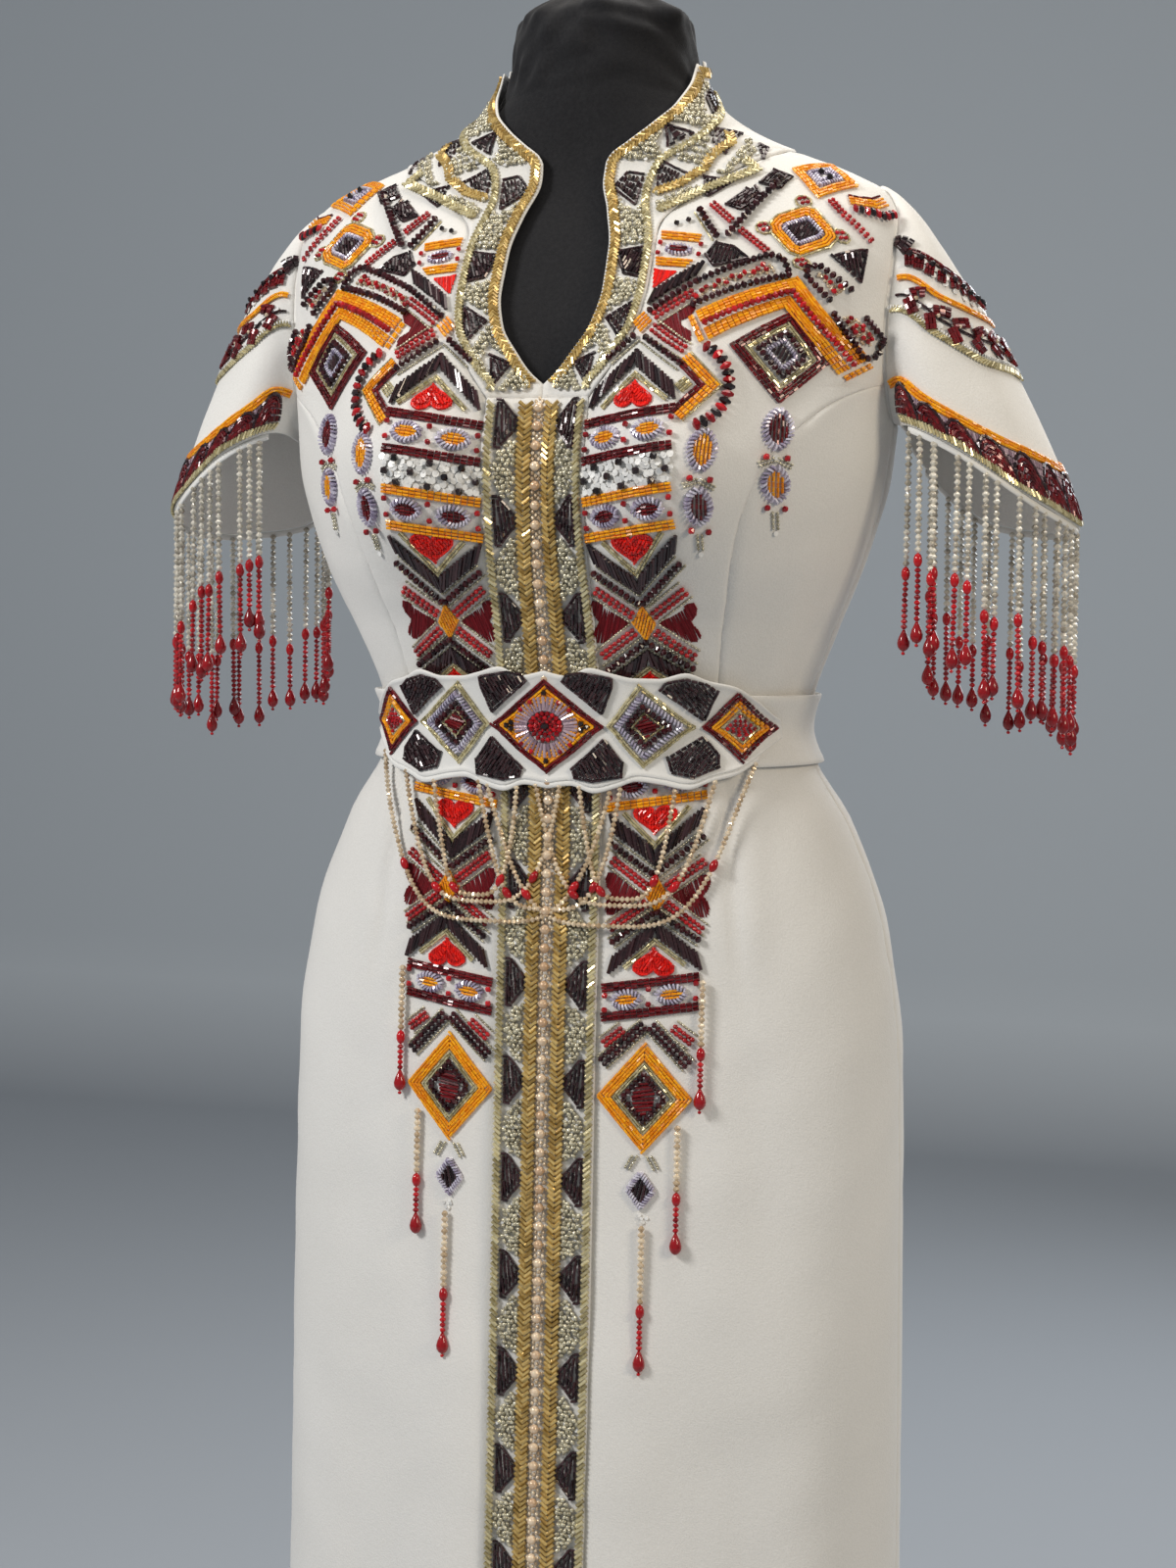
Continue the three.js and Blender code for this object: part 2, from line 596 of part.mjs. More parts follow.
// Bead fringe hung from a narrow tape just under the sleeve hem.
const fringe = { from: -132, to: 132, strands: 29, tape: 3.4 };
const strandRings = [
  { down: 0, radius: 1.6 }, { down: 82, radius: 1.8 }, { down: 132, radius: 3.6 }, { down: 144, radius: 1.2 },
];
const hangingStrand = (top, rings, sides, along = (d) => new THREE.Vector3(top.x, top.y, top.z - d)) => {
  const points = [];
  rings.forEach((ring) => {
    const centre = along(ring.down);
    for (let k = 0; k < sides; k += 1) {
      const a = (2 * Math.PI * (k + 0.5)) / sides - Math.PI / 2;
      points.push(new THREE.Vector3(
        centre.x + ring.radius * Math.cos(a), centre.y + ring.radius * Math.sin(a), centre.z,
      ));
    }
  });
  const faces = [];
  for (let r = 0; r < rings.length - 1; r += 1) {
    for (let k = 0; k < sides; k += 1) {
      const n = (k + 1) % sides;
      const a = r * sides;
      const b = (r + 1) * sides;
      faces.push([a + k, b + k, b + n], [a + k, b + n, a + n]);
    }
  }
  const last = (rings.length - 1) * sides;
  for (let k = 1; k < sides - 1; k += 1) {
    faces.push([0, k, k + 1], [last, last + k + 1, last + k]);
  }
  return outwards(points, faces);
};
const tapePoint = (at, drop, depth) => {
  const point = sleevePoint(at, 1).addScaledVector(sleeveNormal(at, 1), -depth);
  point.z -= drop;
  return point;
};
const tapeTurns = spread(fringe.from, fringe.to, 18);
const tapeGrid = (depth) => [fringe.tape + 1, 1].map((drop) => tapeTurns.slice().reverse().map((at) => (
  tapePoint(at, drop, depth)
)));
const strands = spread(0, 1, fringe.strands - 1).map((share) => {
  const place = share * (tapeTurns.length - 1.02) + 0.01;
  const step = Math.floor(place);
  const root = tapePoint(tapeTurns[step], 3, 0.8).lerp(tapePoint(tapeTurns[step + 1], 3, 0.8), place - step);
  return hangingStrand(root, strandRings, 3);
});
addPair('fringe', addPads(gridSolid(tapeGrid(0), tapeGrid(clothWall)), strands), colours.redGlass, 0.3);

// ---------- belt ----------
const beltShape = { low: 1037, high: 1084, outside: 5.2, wall: 1.6, around: 40 };
const beltGrid = (lift) => spread(beltShape.low, beltShape.high, 2).map((z) => (
  spread(0, 360 - 360 / beltShape.around, beltShape.around - 1).map((at) => {
    const turn = degrees(at);
    return wornPoint(turn, z).addScaledVector(wornNormal(turn, z), lift);
  })
));
addNode(
  'belt_band',
  gridSolid(beltGrid(beltShape.outside), beltGrid(beltShape.outside - beltShape.wall), true),
  colours.crepeBelt,
  0.85,
);

// Plaque: scalloped outline by half height above and below the belt's middle line.
const plaqueTable = [
  { x: 0, up: 36, down: 35 }, { x: 15, up: 33, down: 33 }, { x: 29, up: 35, down: 35 }, { x: 43, up: 32, down: 32 },
  { x: 55, up: 33, down: 30 }, { x: 69, up: 31, down: 32 }, { x: 85, up: 33, down: 33 }, { x: 97, up: 27, down: 28 },
  { x: 110, up: 26, down: 26 }, { x: 120, up: 17, down: 18 }, { x: 129, up: 7, down: 8 },
];
const plaqueMiddle = 1063;
const plaque = { inside: 7, outside: 8.6 };
const plaqueUp = makeCurve(plaqueTable, 'x', 'up');
const plaqueDown = makeCurve(plaqueTable, 'x', 'down');
const plaqueColumns = [...plaqueTable.slice(1).map((row) => -row.x).reverse(), ...plaqueTable.map((row) => row.x)];
const overFront = (x, z, lift) => {
  const turn = turnAtX(x, z);
  return wornPoint(turn, z).addScaledVector(wornNormal(turn, z), lift);
};
const plaqueGrid = (lift) => [-1, 0, 1].map((share) => plaqueColumns.map((x) => {
  const reach = share > 0 ? plaqueUp(Math.abs(x)) : plaqueDown(Math.abs(x));
  return overFront(x, plaqueMiddle + share * reach, lift);
}));
const plaqueOutlines = [
  diamond(0, plaqueMiddle, 33, 31), diamond(58, plaqueMiddle, 22, 25), diamond(108, plaqueMiddle + 1, 18, 20),
];
const flipped = (outline) => outline.map(([x, y]) => [-x, y]);
const plaquePads = plaqueOutlines.flatMap((outline, i) => (i === 0 ? [outline] : [outline, flipped(outline)]))
  .map((outline) => filledPad(outline, 1.5, plaque.outside));
addNode('belt_plaque', addPads(gridSolid(plaqueGrid(plaque.outside), plaqueGrid(plaque.inside)), plaquePads), colours.plaque, 0.4);

// Bead chains looped from a tape under the plaque, fused where they cross.
const chainLift = 5;
const chainLiftAtBelt = 7.7;
const chainRadius = 1.5;
const swags = [
  { from: -117, to: 40, low: 940 }, { from: -40, to: 117, low: 940 }, { from: -100, to: 0, low: 955 },
  { from: 0, to: 100, low: 955 },
];
function swagSolid({ from, to, low }) {
  const steps = 9;
  const centreLine = spread(0, 1, steps).map((s) => {
    const x = from + (to - from) * s;
    const endZ = plaqueMiddle - plaqueDown(Math.abs(s < 0.5 ? from : to)) - 2;
    const sag = 1 - (2 * s - 1) ** 4;
    return { x, z: endZ - (endZ - low) * sag };
  });
  const points = centreLine.flatMap((p, i) => {
    const a = centreLine[Math.max(0, i - 1)];
    const b = centreLine[Math.min(steps, i + 1)];
    const turn = turnAtX(p.x, p.z);
    const out = wornNormal(turn, p.z);
    const along = overFront(b.x, b.z, chainLift).sub(overFront(a.x, a.z, chainLift)).normalize();
    const side = along.clone().cross(out).normalize();
    const share = Math.min(Math.max((p.z - 985) / 45, 0), 1);
    const centre = overFront(p.x, p.z, chainLift + (chainLiftAtBelt - chainLift) * share);
    return [0, 1, 2].map((k) => {
      const angle = (2 * Math.PI * k) / 3;
      return centre.clone().addScaledVector(out, chainRadius * Math.cos(angle))
        .addScaledVector(side, chainRadius * Math.sin(angle));
    });
  });
  const faces = [];
  for (let i = 0; i < steps; i += 1) {
    for (let k = 0; k < 3; k += 1) {
      const n = (k + 1) % 3;
      faces.push([3 * i + k, 3 * i + 3 + k, 3 * i + 3 + n], [3 * i + k, 3 * i + 3 + n, 3 * i + n]);
    }
  }
  faces.push([0, 1, 2], [3 * steps, 3 * steps + 2, 3 * steps + 1]);
  return outwards(points, faces);
}
const chainTape = (lift) => [3.6, 0.6].map((drop) => plaqueColumns.slice(2, -2).map((x) => (
  overFront(x, plaqueMiddle - plaqueDown(Math.abs(x)) - drop, lift)
)));
addNode('belt_chains', addPads(gridSolid(chainTape(8.5), chainTape(6.9)), swags.map(swagSolid)), colours.pearl, 0.35);

// ---------- bead drops on the skirt ----------
const drops = [
  { name: 'outer', x: 99, top: 906, length: 82, lift: 3.9 }, { name: 'middle', x: 86, top: 815, length: 80, lift: 3.2 },
  { name: 'inner', x: 65, top: 751, length: 94, lift: 3.4 },
];
drops.forEach(({ name, x, top, length, lift }) => {
  const rings = strandRings.map((ring) => ({ down: (ring.down * length) / 144, radius: ring.radius }));
  const along = (down) => overFront(x, top - down, lift);
  addPair(`drop_${name}`, hangingStrand(null, rings, 4, along), colours.redGlass, 0.3);
});

// ---------- dress form and stand ----------
const formTable = [
  { z: 752, grow: -27 }, { z: 755, grow: -11 }, { z: 764, grow: -3 }, { z: 780, grow: 0 },
];
const formHeights = [
  ...formTable, ...[850, 930, 975, 1015, 1060, 1105, 1145, 1185, 1222, 1260, 1288, 1318, 1350, 1380, 1398,
    1412, 1426, 1440, 1456, 1475, 1500, 1540].map((z) => ({ z, grow: 0 })),
  { z: 1553, grow: -2 }, { z: 1561, grow: -10 }, { z: 1565, grow: -24 },
];
const formAround = 20;
function formSolid() {
  const points = [];
  formHeights.forEach(({ z, grow }) => {
    for (let k = 0; k < formAround; k += 1) {
      const turn = (2 * Math.PI * k) / formAround;
      points.push(wornPoint(turn, z, grow).addScaledVector(wornNormal(turn, z), -formClearance));
    }
  });
  const faces = [];
  const rows = formHeights.length;
  for (let r = 0; r < rows - 1; r += 1) {
    for (let k = 0; k < formAround; k += 1) {
      const n = (k + 1) % formAround;
      const a = r * formAround;
      const b = a + formAround;
      faces.push([a + k, a + n, b + n], [a + k, b + n, b + k]);
    }
  }
  const bottom = points.length;
  points.push(new THREE.Vector3(0, 10, formHeights[0].z));
  points.push(new THREE.Vector3(0, 13, formHeights[rows - 1].z + 1));
  const last = (rows - 1) * formAround;
  for (let k = 0; k < formAround; k += 1) {
    const n = (k + 1) % formAround;
    faces.push([bottom, n, k], [bottom + 1, last + k, last + n]);
  }
  return outwards(points, faces);
}
addNode('form_torso', formSolid(), colours.jersey, 0.9);

// Round stand parts turned from a profile of [radius, height] pairs.
function turned(profile, sides, y) {
  const points = [];
  profile.forEach(([radius, z]) => {
    for (let k = 0; k < sides; k += 1) {
      const a = (2 * Math.PI * k) / sides;
      points.push(new THREE.Vector3(radius * Math.cos(a), y + radius * Math.sin(a), z));
    }
  });
  const faces = [];
  for (let r = 0; r < profile.length - 1; r += 1) {
    for (let k = 0; k < sides; k += 1) {
      const n = (k + 1) % sides;
      const a = r * sides;
      const b = a + sides;
      faces.push([a + k, a + n, b + n], [a + k, b + n, b + k]);
    }
  }
  const first = points.length;
  points.push(new THREE.Vector3(0, y, profile[0][1]));
  points.push(new THREE.Vector3(0, y, profile[profile.length - 1][1]));
  const last = (profile.length - 1) * sides;
  for (let k = 0; k < sides; k += 1) {
    const n = (k + 1) % sides;
    faces.push([first, n, k], [first + 1, last + k, last + n]);
  }
  return outwards(points, faces);
}
const standProfiles = {
  base: [[148, 0], [150, 3], [148, 12], [24, 20]],
  pole: [[14, 20.3], [14, 727.7]],
  hub: [[32, 728], [34, 732], [34, 751.4]],
};
addNode('stand_base', turned(standProfiles.base, 36, 0), colours.baseMetal, 0.4, 0.7);
addNode('stand_pole', turned(standProfiles.pole, 16, 0), colours.steel, 0.3, 0.9);
addNode('stand_hub', turned(standProfiles.hub, 20, 0), colours.baseMetal, 0.4, 0.7);

export default group;
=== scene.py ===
import math

import bpy
import numpy as np
from mathutils import Matrix, Vector


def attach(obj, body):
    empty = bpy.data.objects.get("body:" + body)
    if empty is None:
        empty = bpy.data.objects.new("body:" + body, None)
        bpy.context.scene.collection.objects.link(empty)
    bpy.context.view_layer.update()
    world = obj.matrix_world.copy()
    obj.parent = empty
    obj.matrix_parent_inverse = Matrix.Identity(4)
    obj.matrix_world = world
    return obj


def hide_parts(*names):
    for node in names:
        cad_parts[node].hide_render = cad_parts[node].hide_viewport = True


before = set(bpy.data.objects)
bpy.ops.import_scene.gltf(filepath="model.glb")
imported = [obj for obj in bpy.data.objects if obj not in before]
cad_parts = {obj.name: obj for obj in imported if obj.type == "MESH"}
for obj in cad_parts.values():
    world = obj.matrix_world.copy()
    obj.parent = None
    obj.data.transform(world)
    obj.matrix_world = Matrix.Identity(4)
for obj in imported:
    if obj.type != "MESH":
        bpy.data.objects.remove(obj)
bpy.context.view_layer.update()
mm = 0.001  # lengths below are millimetres, turned to metres when a mesh is made

# The worn surface
# Level sections of the dressed body: height, half width, reach to the front, to the back, centre,
# squareness
wornSections = np.array([
    (30, 220, 144, 144, 12, 2.15), (300, 214, 132, 140, 12, 2.15), (500, 211, 123, 136, 12, 2.15),
    (700, 209, 114, 134, 12, 2.2), (850, 206, 109, 135, 12, 2.25), (930, 195, 105, 130, 12, 2.25),
    (1000, 170, 101, 114, 12, 2.2), (1040, 146, 102, 100, 12, 2.15), (1060, 140, 104, 92, 12, 2.1),
    (1080, 145, 103, 92, 8, 2.1), (1120, 160, 106, 97, 2, 2.15), (1170, 181, 110, 105, -4, 2.25),
    (1223, 196, 110, 108, -6, 2.35), (1260, 200, 106, 108, -5, 2.45), (1310, 204, 100, 106, -2, 2.6),
    (1350, 207, 88, 102, 1, 2.6), (1380, 205, 76, 94, 4, 2.5), (1400, 194, 68, 84, 8, 2.35),
    (1415, 168, 64, 76, 10, 2.2), (1430, 132, 62, 70, 11, 2.1), (1445, 100, 62, 67, 12, 2.05),
    (1460, 80, 62, 65, 12, 2), (1480, 69, 62, 63, 13, 2), (1500, 66, 62, 62, 13, 2),
    (1600, 65, 62, 62, 13, 2)])
bust = dict(x=88, z=1215, across=62, above=95, below=62, swell=44)


def makeCurve(places, values):  # smooth reading of one row of numbers against another, without overshoot
    t, v = np.asarray(places, float), np.asarray(values, float)
    slope = np.diff(v) / np.diff(t)
    tangent = np.empty_like(v)
    tangent[0], tangent[-1] = slope[0], slope[-1]
    product = slope[:-1] * slope[1:]
    rising = product > 0
    total = np.where(rising, slope[:-1] + slope[1:], 1)
    tangent[1:-1] = np.where(rising, 2 * product / total, 0)

    def at(x):
        x = np.clip(x, t[0], t[-1])
        i = np.clip(np.searchsorted(t, x, side="left") - 1, 0, len(t) - 2)
        h = t[i + 1] - t[i]
        s = (x - t[i]) / h
        start = (2 * s**3 - 3 * s**2 + 1) * v[i] + (s**3 - 2 * s**2 + s) * h * tangent[i]
        return start + (3 * s**2 - 2 * s**3) * v[i + 1] + (s**3 - s**2) * h * tangent[i + 1]
    return at


halfAt, frontAt, backAt, centreAt, powerAt = [
    makeCurve(wornSections[:, 0], wornSections[:, k]) for k in range(1, 6)]


def unit(v):
    return v / np.maximum(np.linalg.norm(v, axis=-1, keepdims=True), 1e-9)


def bustSwell(x, z):  # how far the bust stands out past the level sections
    spread = np.where(z > bust["z"], bust["above"], bust["below"])
    nearest = np.minimum(np.abs(x - bust["x"]), np.abs(x + bust["x"]))
    return bust["swell"] * np.exp(-((z - bust["z"]) / spread)**2 - (nearest / bust["across"])**2)


# Turn 0 is centre front, a quarter turn the right side, half a turn the back
def wornPoint(turn, z, grow=0):
    turn, z = np.broadcast_arrays(np.asarray(turn, float), np.asarray(z, float))
    s, c = np.sin(turn), np.cos(turn)
    k = 2 / powerAt(z)
    x = (halfAt(z) + grow) * np.sign(s) * np.abs(s)**k
    depth = np.where(c > 0, -(frontAt(z) + grow), backAt(z) + grow)
    swell = np.where(c > 0, bustSwell(x, z) * np.sqrt(np.clip(c, 0, 1)), 0)
    return np.stack([x, depth * np.abs(c)**k + centreAt(z) - swell, z], -1)


def wornNormal(turn, z):  # outward, from small steps along the surface
    du = wornPoint(turn + 0.02, z) - wornPoint(turn - 0.02, z)
    return unit(np.cross(du, wornPoint(turn, z + 1) - wornPoint(turn, z - 1)))


def turnAtX(x, z):  # the turn of the front surface at a distance from the middle
    share = np.minimum(np.abs(x) / halfAt(z), 1)
    return np.sign(x) * np.arcsin(share**(powerAt(z) / 2))


def bisect(nearer, start, reach):  # the furthest distance for which nearer() still holds
    low, high = np.zeros_like(start), np.full_like(start, reach)
    for _ in range(26):
        mid = (low + high) / 2
        keep = nearer(mid)
        low, high = np.where(keep, mid, low), np.where(keep, high, mid)
    return (low + high) / 2


def stepTurn(turn, z, distance):  # a turn moved along its section by a true distance
    turn, z, distance = np.broadcast_arrays(*[np.asarray(v, float) for v in (turn, z, distance)])
    start, way = wornPoint(turn, z), np.sign(distance)

    def nearer(gone):
        return np.linalg.norm(wornPoint(turn + way * gone, z) - start, axis=-1) < np.abs(distance)
    return turn + way * bisect(nearer, turn, 0.6)


drapeFold, drapeRadius = 1300, 100


def drape(x, height):  # front surface by x and a height that is measured over the shoulder above drapeFold
    x, height = np.broadcast_arrays(np.asarray(x, float), np.asarray(height, float))
    lift = np.maximum(height - drapeFold, 0) / drapeRadius

    def inside(gone):
        z = drapeFold + gone * np.sin(lift)
        return (np.abs(x) < halfAt(z)) & (-gone * np.cos(lift) > wornPoint(turnAtX(x, z), z)[..., 1])
    z = np.where(height > drapeFold, drapeFold + bisect(inside, x, 220) * np.sin(lift), height)
    turn = turnAtX(x, z)
    return wornPoint(turn, z), wornNormal(turn, z)


# Meshes
def ripple(points, size, seed=0):  # soft uneven swell, about -1 to 1, from crossing waves
    total = 0
    for k in range(4):
        angle = seed * 1.7 + k * 2.4
        way = np.array([math.cos(angle), math.sin(angle * 1.3), math.sin(angle)])
        total = total + np.sin(points @ way * (2 * math.pi / size) * (0.8 + 0.27 * k) + seed * 3.1 + k)
    return total / 2.6


def makePiece(name, points, polygons, material):
    mesh = bpy.data.meshes.new(name)
    mesh.from_pydata((np.asarray(points) * mm).tolist(), [], [list(p) for p in polygons])
    mesh.shade_smooth()
    mesh.materials.append(material)
    mesh.update()
    piece = bpy.data.objects.new(name, mesh)
    bpy.context.scene.collection.objects.link(piece)
    return piece


def finishPiece(piece, replaced=()):
    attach(piece, "root")
    if replaced:
        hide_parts(*replaced)


def shellParts(outer, inner, wraps=False):  # a cloth wall: two skins and a rounded rim round its open edges
    rows, cols = outer.shape[:2]
    count = rows * cols
    index = np.arange(count).reshape(rows, cols)
    if wraps:
        index = np.concatenate([index, index[:, :1]], 1)
    a, b, c, d = index[:-1, :-1], index[:-1, 1:], index[1:, 1:], index[1:, :-1]
    skin = np.stack([a, b, c, d], -1).reshape(-1, 4)
    points = [outer.reshape(-1, 3), inner.reshape(-1, 3)]
    polygons = [skin, skin[:, ::-1] + count]
    middle = (outer + inner) / 2
    thick = np.linalg.norm(outer - inner, axis=-1, keepdims=True)
    if wraps:
        edges = [(index[0, :-1], unit(middle[0] - middle[1]), 1),
                 (index[-1, :-1], unit(middle[-1] - middle[-2]), -1)]
    else:
        ring = np.concatenate([index[0, :-1], index[:-1, -1], index[-1, :0:-1], index[:0:-1, 0]])
        away = np.zeros_like(middle)
        away[0] += unit(middle[0] - middle[1])
        away[-1] += unit(middle[-1] - middle[-2])
        away[:, 0] += unit(middle[:, 0] - middle[:, 1])
        away[:, -1] += unit(middle[:, -1] - middle[:, -2])
        edges = [(ring, unit(away.reshape(-1, 3)[ring]), 1)]
    start = 2 * count
    for ring, away, way in edges:
        flat = middle.reshape(-1, 3)[ring] + away * thick.reshape(-1, 1)[ring] * 0.35
        points.append(flat)
        here = np.arange(start, start + len(ring))
        onward, ahead = np.roll(here, -1), np.roll(ring, -1)
        for first, second in ((np.stack([ring, ahead]), np.stack([here, onward])),
                              (np.stack([here, onward]), np.stack([ring, ahead]) + count)):
            quads = np.stack([first[0], second[0], second[1], first[1]], -1)
            polygons.append(quads if way > 0 else quads[:, ::-1])
        start += len(ring)
    return np.concatenate(points), np.concatenate(polygons)


def outwards(points, polygons):  # faces turned so that the shell holds a positive volume
    p = points[polygons]
    volume = (p[:, 0] * np.cross(p[:, 1], p[:, 2])).sum() + (p[:, 0] * np.cross(p[:, 2], p[:, 3])).sum()
    return polygons if volume > 0 else polygons[:, ::-1]


def makeShell(name, outer, inner, material, wraps=False):
    points, polygons = shellParts(outer, inner, wraps)
    return makePiece(name, points, outwards(points, polygons), material)


# Materials
def newMaterial(name):
    material = bpy.data.materials.new(name)
    material.use_nodes = True
    return material, material.node_tree, material.node_tree.nodes["Principled BSDF"]


def addNode(tree, kind, **settings):
    node = tree.nodes.new(kind)
    for key, value in settings.items():
        if hasattr(node, key):
            setattr(node, key, value)
        else:
            node.inputs[key].default_value = value
    return node


def blend(tree, low, high, factor):  # colour between two, by a value
    node = addNode(tree, "ShaderNodeMix", data_type="RGBA")
    for socket, value in ((node.inputs[6], low), (node.inputs[7], high)):
        if isinstance(value, bpy.types.NodeSocket):
            tree.links.new(value, socket)
        else:
            socket.default_value = (*value, 1)
    tree.links.new(factor, node.inputs[0])
    return node.outputs[2]


def remap(tree, value, low, high, toLow=0, toHigh=1):
    node = addNode(tree, "ShaderNodeMapRange")
    for k, number in enumerate((low, high, toLow, toHigh)):
        node.inputs[k + 1].default_value = number
    tree.links.new(value, node.inputs[0])
    return node.outputs[0]


def noise(tree, place, scale, detail=2):
    node = addNode(tree, "ShaderNodeTexNoise")
    node.inputs["Scale"].default_value = scale
    node.inputs["Detail"].default_value = detail
    tree.links.new(place, node.inputs["Vector"])
    return node.outputs["Fac"]


def bumped(tree, shader, height, strength, distance):
    node = addNode(tree, "ShaderNodeBump", Strength=strength, Distance=distance)
    tree.links.new(height, node.inputs["Height"])
    tree.links.new(node.outputs["Normal"], shader.inputs["Normal"])


def combine(tree, a, b, factor=1):  # a plus a share of b
    node = addNode(tree, "ShaderNodeMath", operation="MULTIPLY_ADD")
    tree.links.new(b, node.inputs[0])
    node.inputs[1].default_value = factor
    tree.links.new(a, node.inputs[2])
    return node.outputs[0]


def clothMaterial(name, light, shade, grain, depth, roughness, sheen=0.2):
    material, tree, shader = newMaterial(name)
    place = addNode(tree, "ShaderNodeTexCoord").outputs["Object"]
    pebble = noise(tree, place, grain, 3)
    slub = noise(tree, place, grain / 3.5, 2)
    broad = noise(tree, place, 7, 2)
    tone = combine(tree, remap(tree, pebble, 0.35, 0.65, 0, 0.55), remap(tree, broad, 0.35, 0.65),
                   factor=0.45)
    tree.links.new(blend(tree, shade, light, tone), shader.inputs["Base Color"])
    tree.links.new(remap(tree, slub, 0.3, 0.7, roughness - 0.06, roughness + 0.06),
                   shader.inputs["Roughness"])
    bumped(tree, shader, combine(tree, pebble, slub, factor=0.6), 0.55, depth)
    shader.inputs["Sheen Weight"].default_value = sheen
    shader.inputs["Sheen Roughness"].default_value = 0.4
    shader.inputs["Specular IOR Level"].default_value = 0.3
    return material


crepe = clothMaterial("whiteCrepe", (0.83, 0.815, 0.785), (0.75, 0.735, 0.70), 900, 0.0004, 0.72)
satinEdge = clothMaterial("whiteSatinEdge", (0.88, 0.87, 0.84), (0.79, 0.78, 0.75), 1400, 0.0002, 0.45)
jersey = clothMaterial("blackJersey", (0.013, 0.013, 0.015), (0.005, 0.005, 0.007), 1500, 0.0003, 0.85,
                       0.12)


def metalMaterial(name, colour, roughness, metallic):
    material, tree, shader = newMaterial(name)
    place = addNode(tree, "ShaderNodeTexCoord").outputs["Object"]
    wear = noise(tree, place, 45, 6)
    tree.links.new(blend(tree, [c * 0.75 for c in colour], colour, remap(tree, wear, 0.3, 0.7)),
                   shader.inputs["Base Color"])
    tree.links.new(remap(tree, wear, 0.35, 0.65, roughness + 0.12, roughness), shader.inputs["Roughness"])
    shader.inputs["Metallic"].default_value = metallic
    bumped(tree, shader, noise(tree, place, 900, 2), 0.15, 0.0002)
    return material


# Cut lines of the dress, right side
keyhole = np.array([(1274, 0), (1282, 9), (1294, 18), (1310, 28), (1334, 33), (1360, 32.5), (1385, 27),
                    (1407, 20.5), (1418, 21), (1424, 24), (1432, 34), (1444, 48), (1458, 60), (1475, 65),
                    (1492, 65.8)])
neckbandOuter = np.array([(1265, 32.5), (1288, 48), (1311, 59), (1337, 62), (1372, 62), (1394, 78),
                          (1413, 105), (1424, 124), (1430, 130)])
princess = np.array([(1060, 101), (1088, 103), (1157, 117), (1226, 141), (1262, 171), (1278, 198)])
keyholeX, neckbandX, princessX = [makeCurve(t[:, 0], t[:, 1]) for t in (keyhole, neckbandOuter, princess)]
cut = dict(hem=30, waist=1060, underarm=1255, shoulderTip=1407, neckbandMeetsShoulder=1428.2, neckSeam=1452,
           collarSide=1492, collarBack=1500, collarFront=1488, bandHalf=32.5, gap=0.36, wall=1.3)
armhole = dict(middle=1331, radius=76, frontReach=16, backReach=28)
bandTop = armhole["middle"] - armhole["radius"] * math.cos(math.pi / 6)
princessTop = armhole["middle"] - armhole["radius"] * math.cos(math.pi / 4)
quarter, half = math.pi / 2, math.pi
halfGap = cut["gap"] / 2
liftRange = (-2.2, 3)  # how far folds may sink or swell the cloth


def armholeBulge(z):
    return np.sqrt(np.clip(1 - ((z - armhole["middle"]) / armhole["radius"])**2, 0, 1))


def armholeFront(z):
    return np.radians(90 - armhole["frontReach"] * armholeBulge(z))


def armholeBack(z):
    return np.radians(90 + armhole["backReach"] * armholeBulge(z))


def princessTurn(z):
    seam = turnAtX(princessX(z), z)
    return np.where(z < cut["underarm"], seam, np.minimum(seam, stepTurn(armholeFront(z), z, -2.4)))


def centreEdge(z):
    return turnAtX(np.where(z <= bandTop, cut["bandHalf"], neckbandX(z)), z)


def frontOuterEdge(z):
    inArmhole = (z > cut["underarm"]) & (z < cut["shoulderTip"])
    side = np.where(inArmhole, armholeFront(z), quarter)
    return np.where(z < princessTop, princessTurn(z), side)


foldStrength = 1.4
# Soft folds and darts of the right side: path in x and height, depth in mm, width; a dart is a sewn groove
folds = [
    dict(path=[(107, 1037), (112, 985), (119, 930), (127, 868)], depth=-1.5, width=2.2),
    dict(path=[(119, 1037), (126, 960), (132, 900)], depth=1.3, width=9),
    dict(path=[(100, 1037), (104, 960), (110, 890)], depth=0.9, width=9),
    dict(path=[(128, 862), (137, 780), (146, 690)], depth=-1.2, width=16),
    dict(path=[(128, 1085), (150, 1150), (172, 1215)], depth=1.1, width=7),
    dict(path=[(143, 1085), (165, 1140)], depth=-1.0, width=6),
    dict(path=[(150, 1235), (172, 1262), (192, 1290)], depth=0.9, width=8),
    dict(path=[(172, 1300), (188, 1325), (198, 1352)], depth=-0.8, width=7),
    dict(path=[(60, 700), (52, 400), (50, 60)], depth=1.6, width=26),
    dict(path=[(120, 640), (118, 350), (122, 60)], depth=-2.0, width=30),
    dict(path=[(165, 720), (172, 400), (180, 60)], depth=1.8, width=24),
]


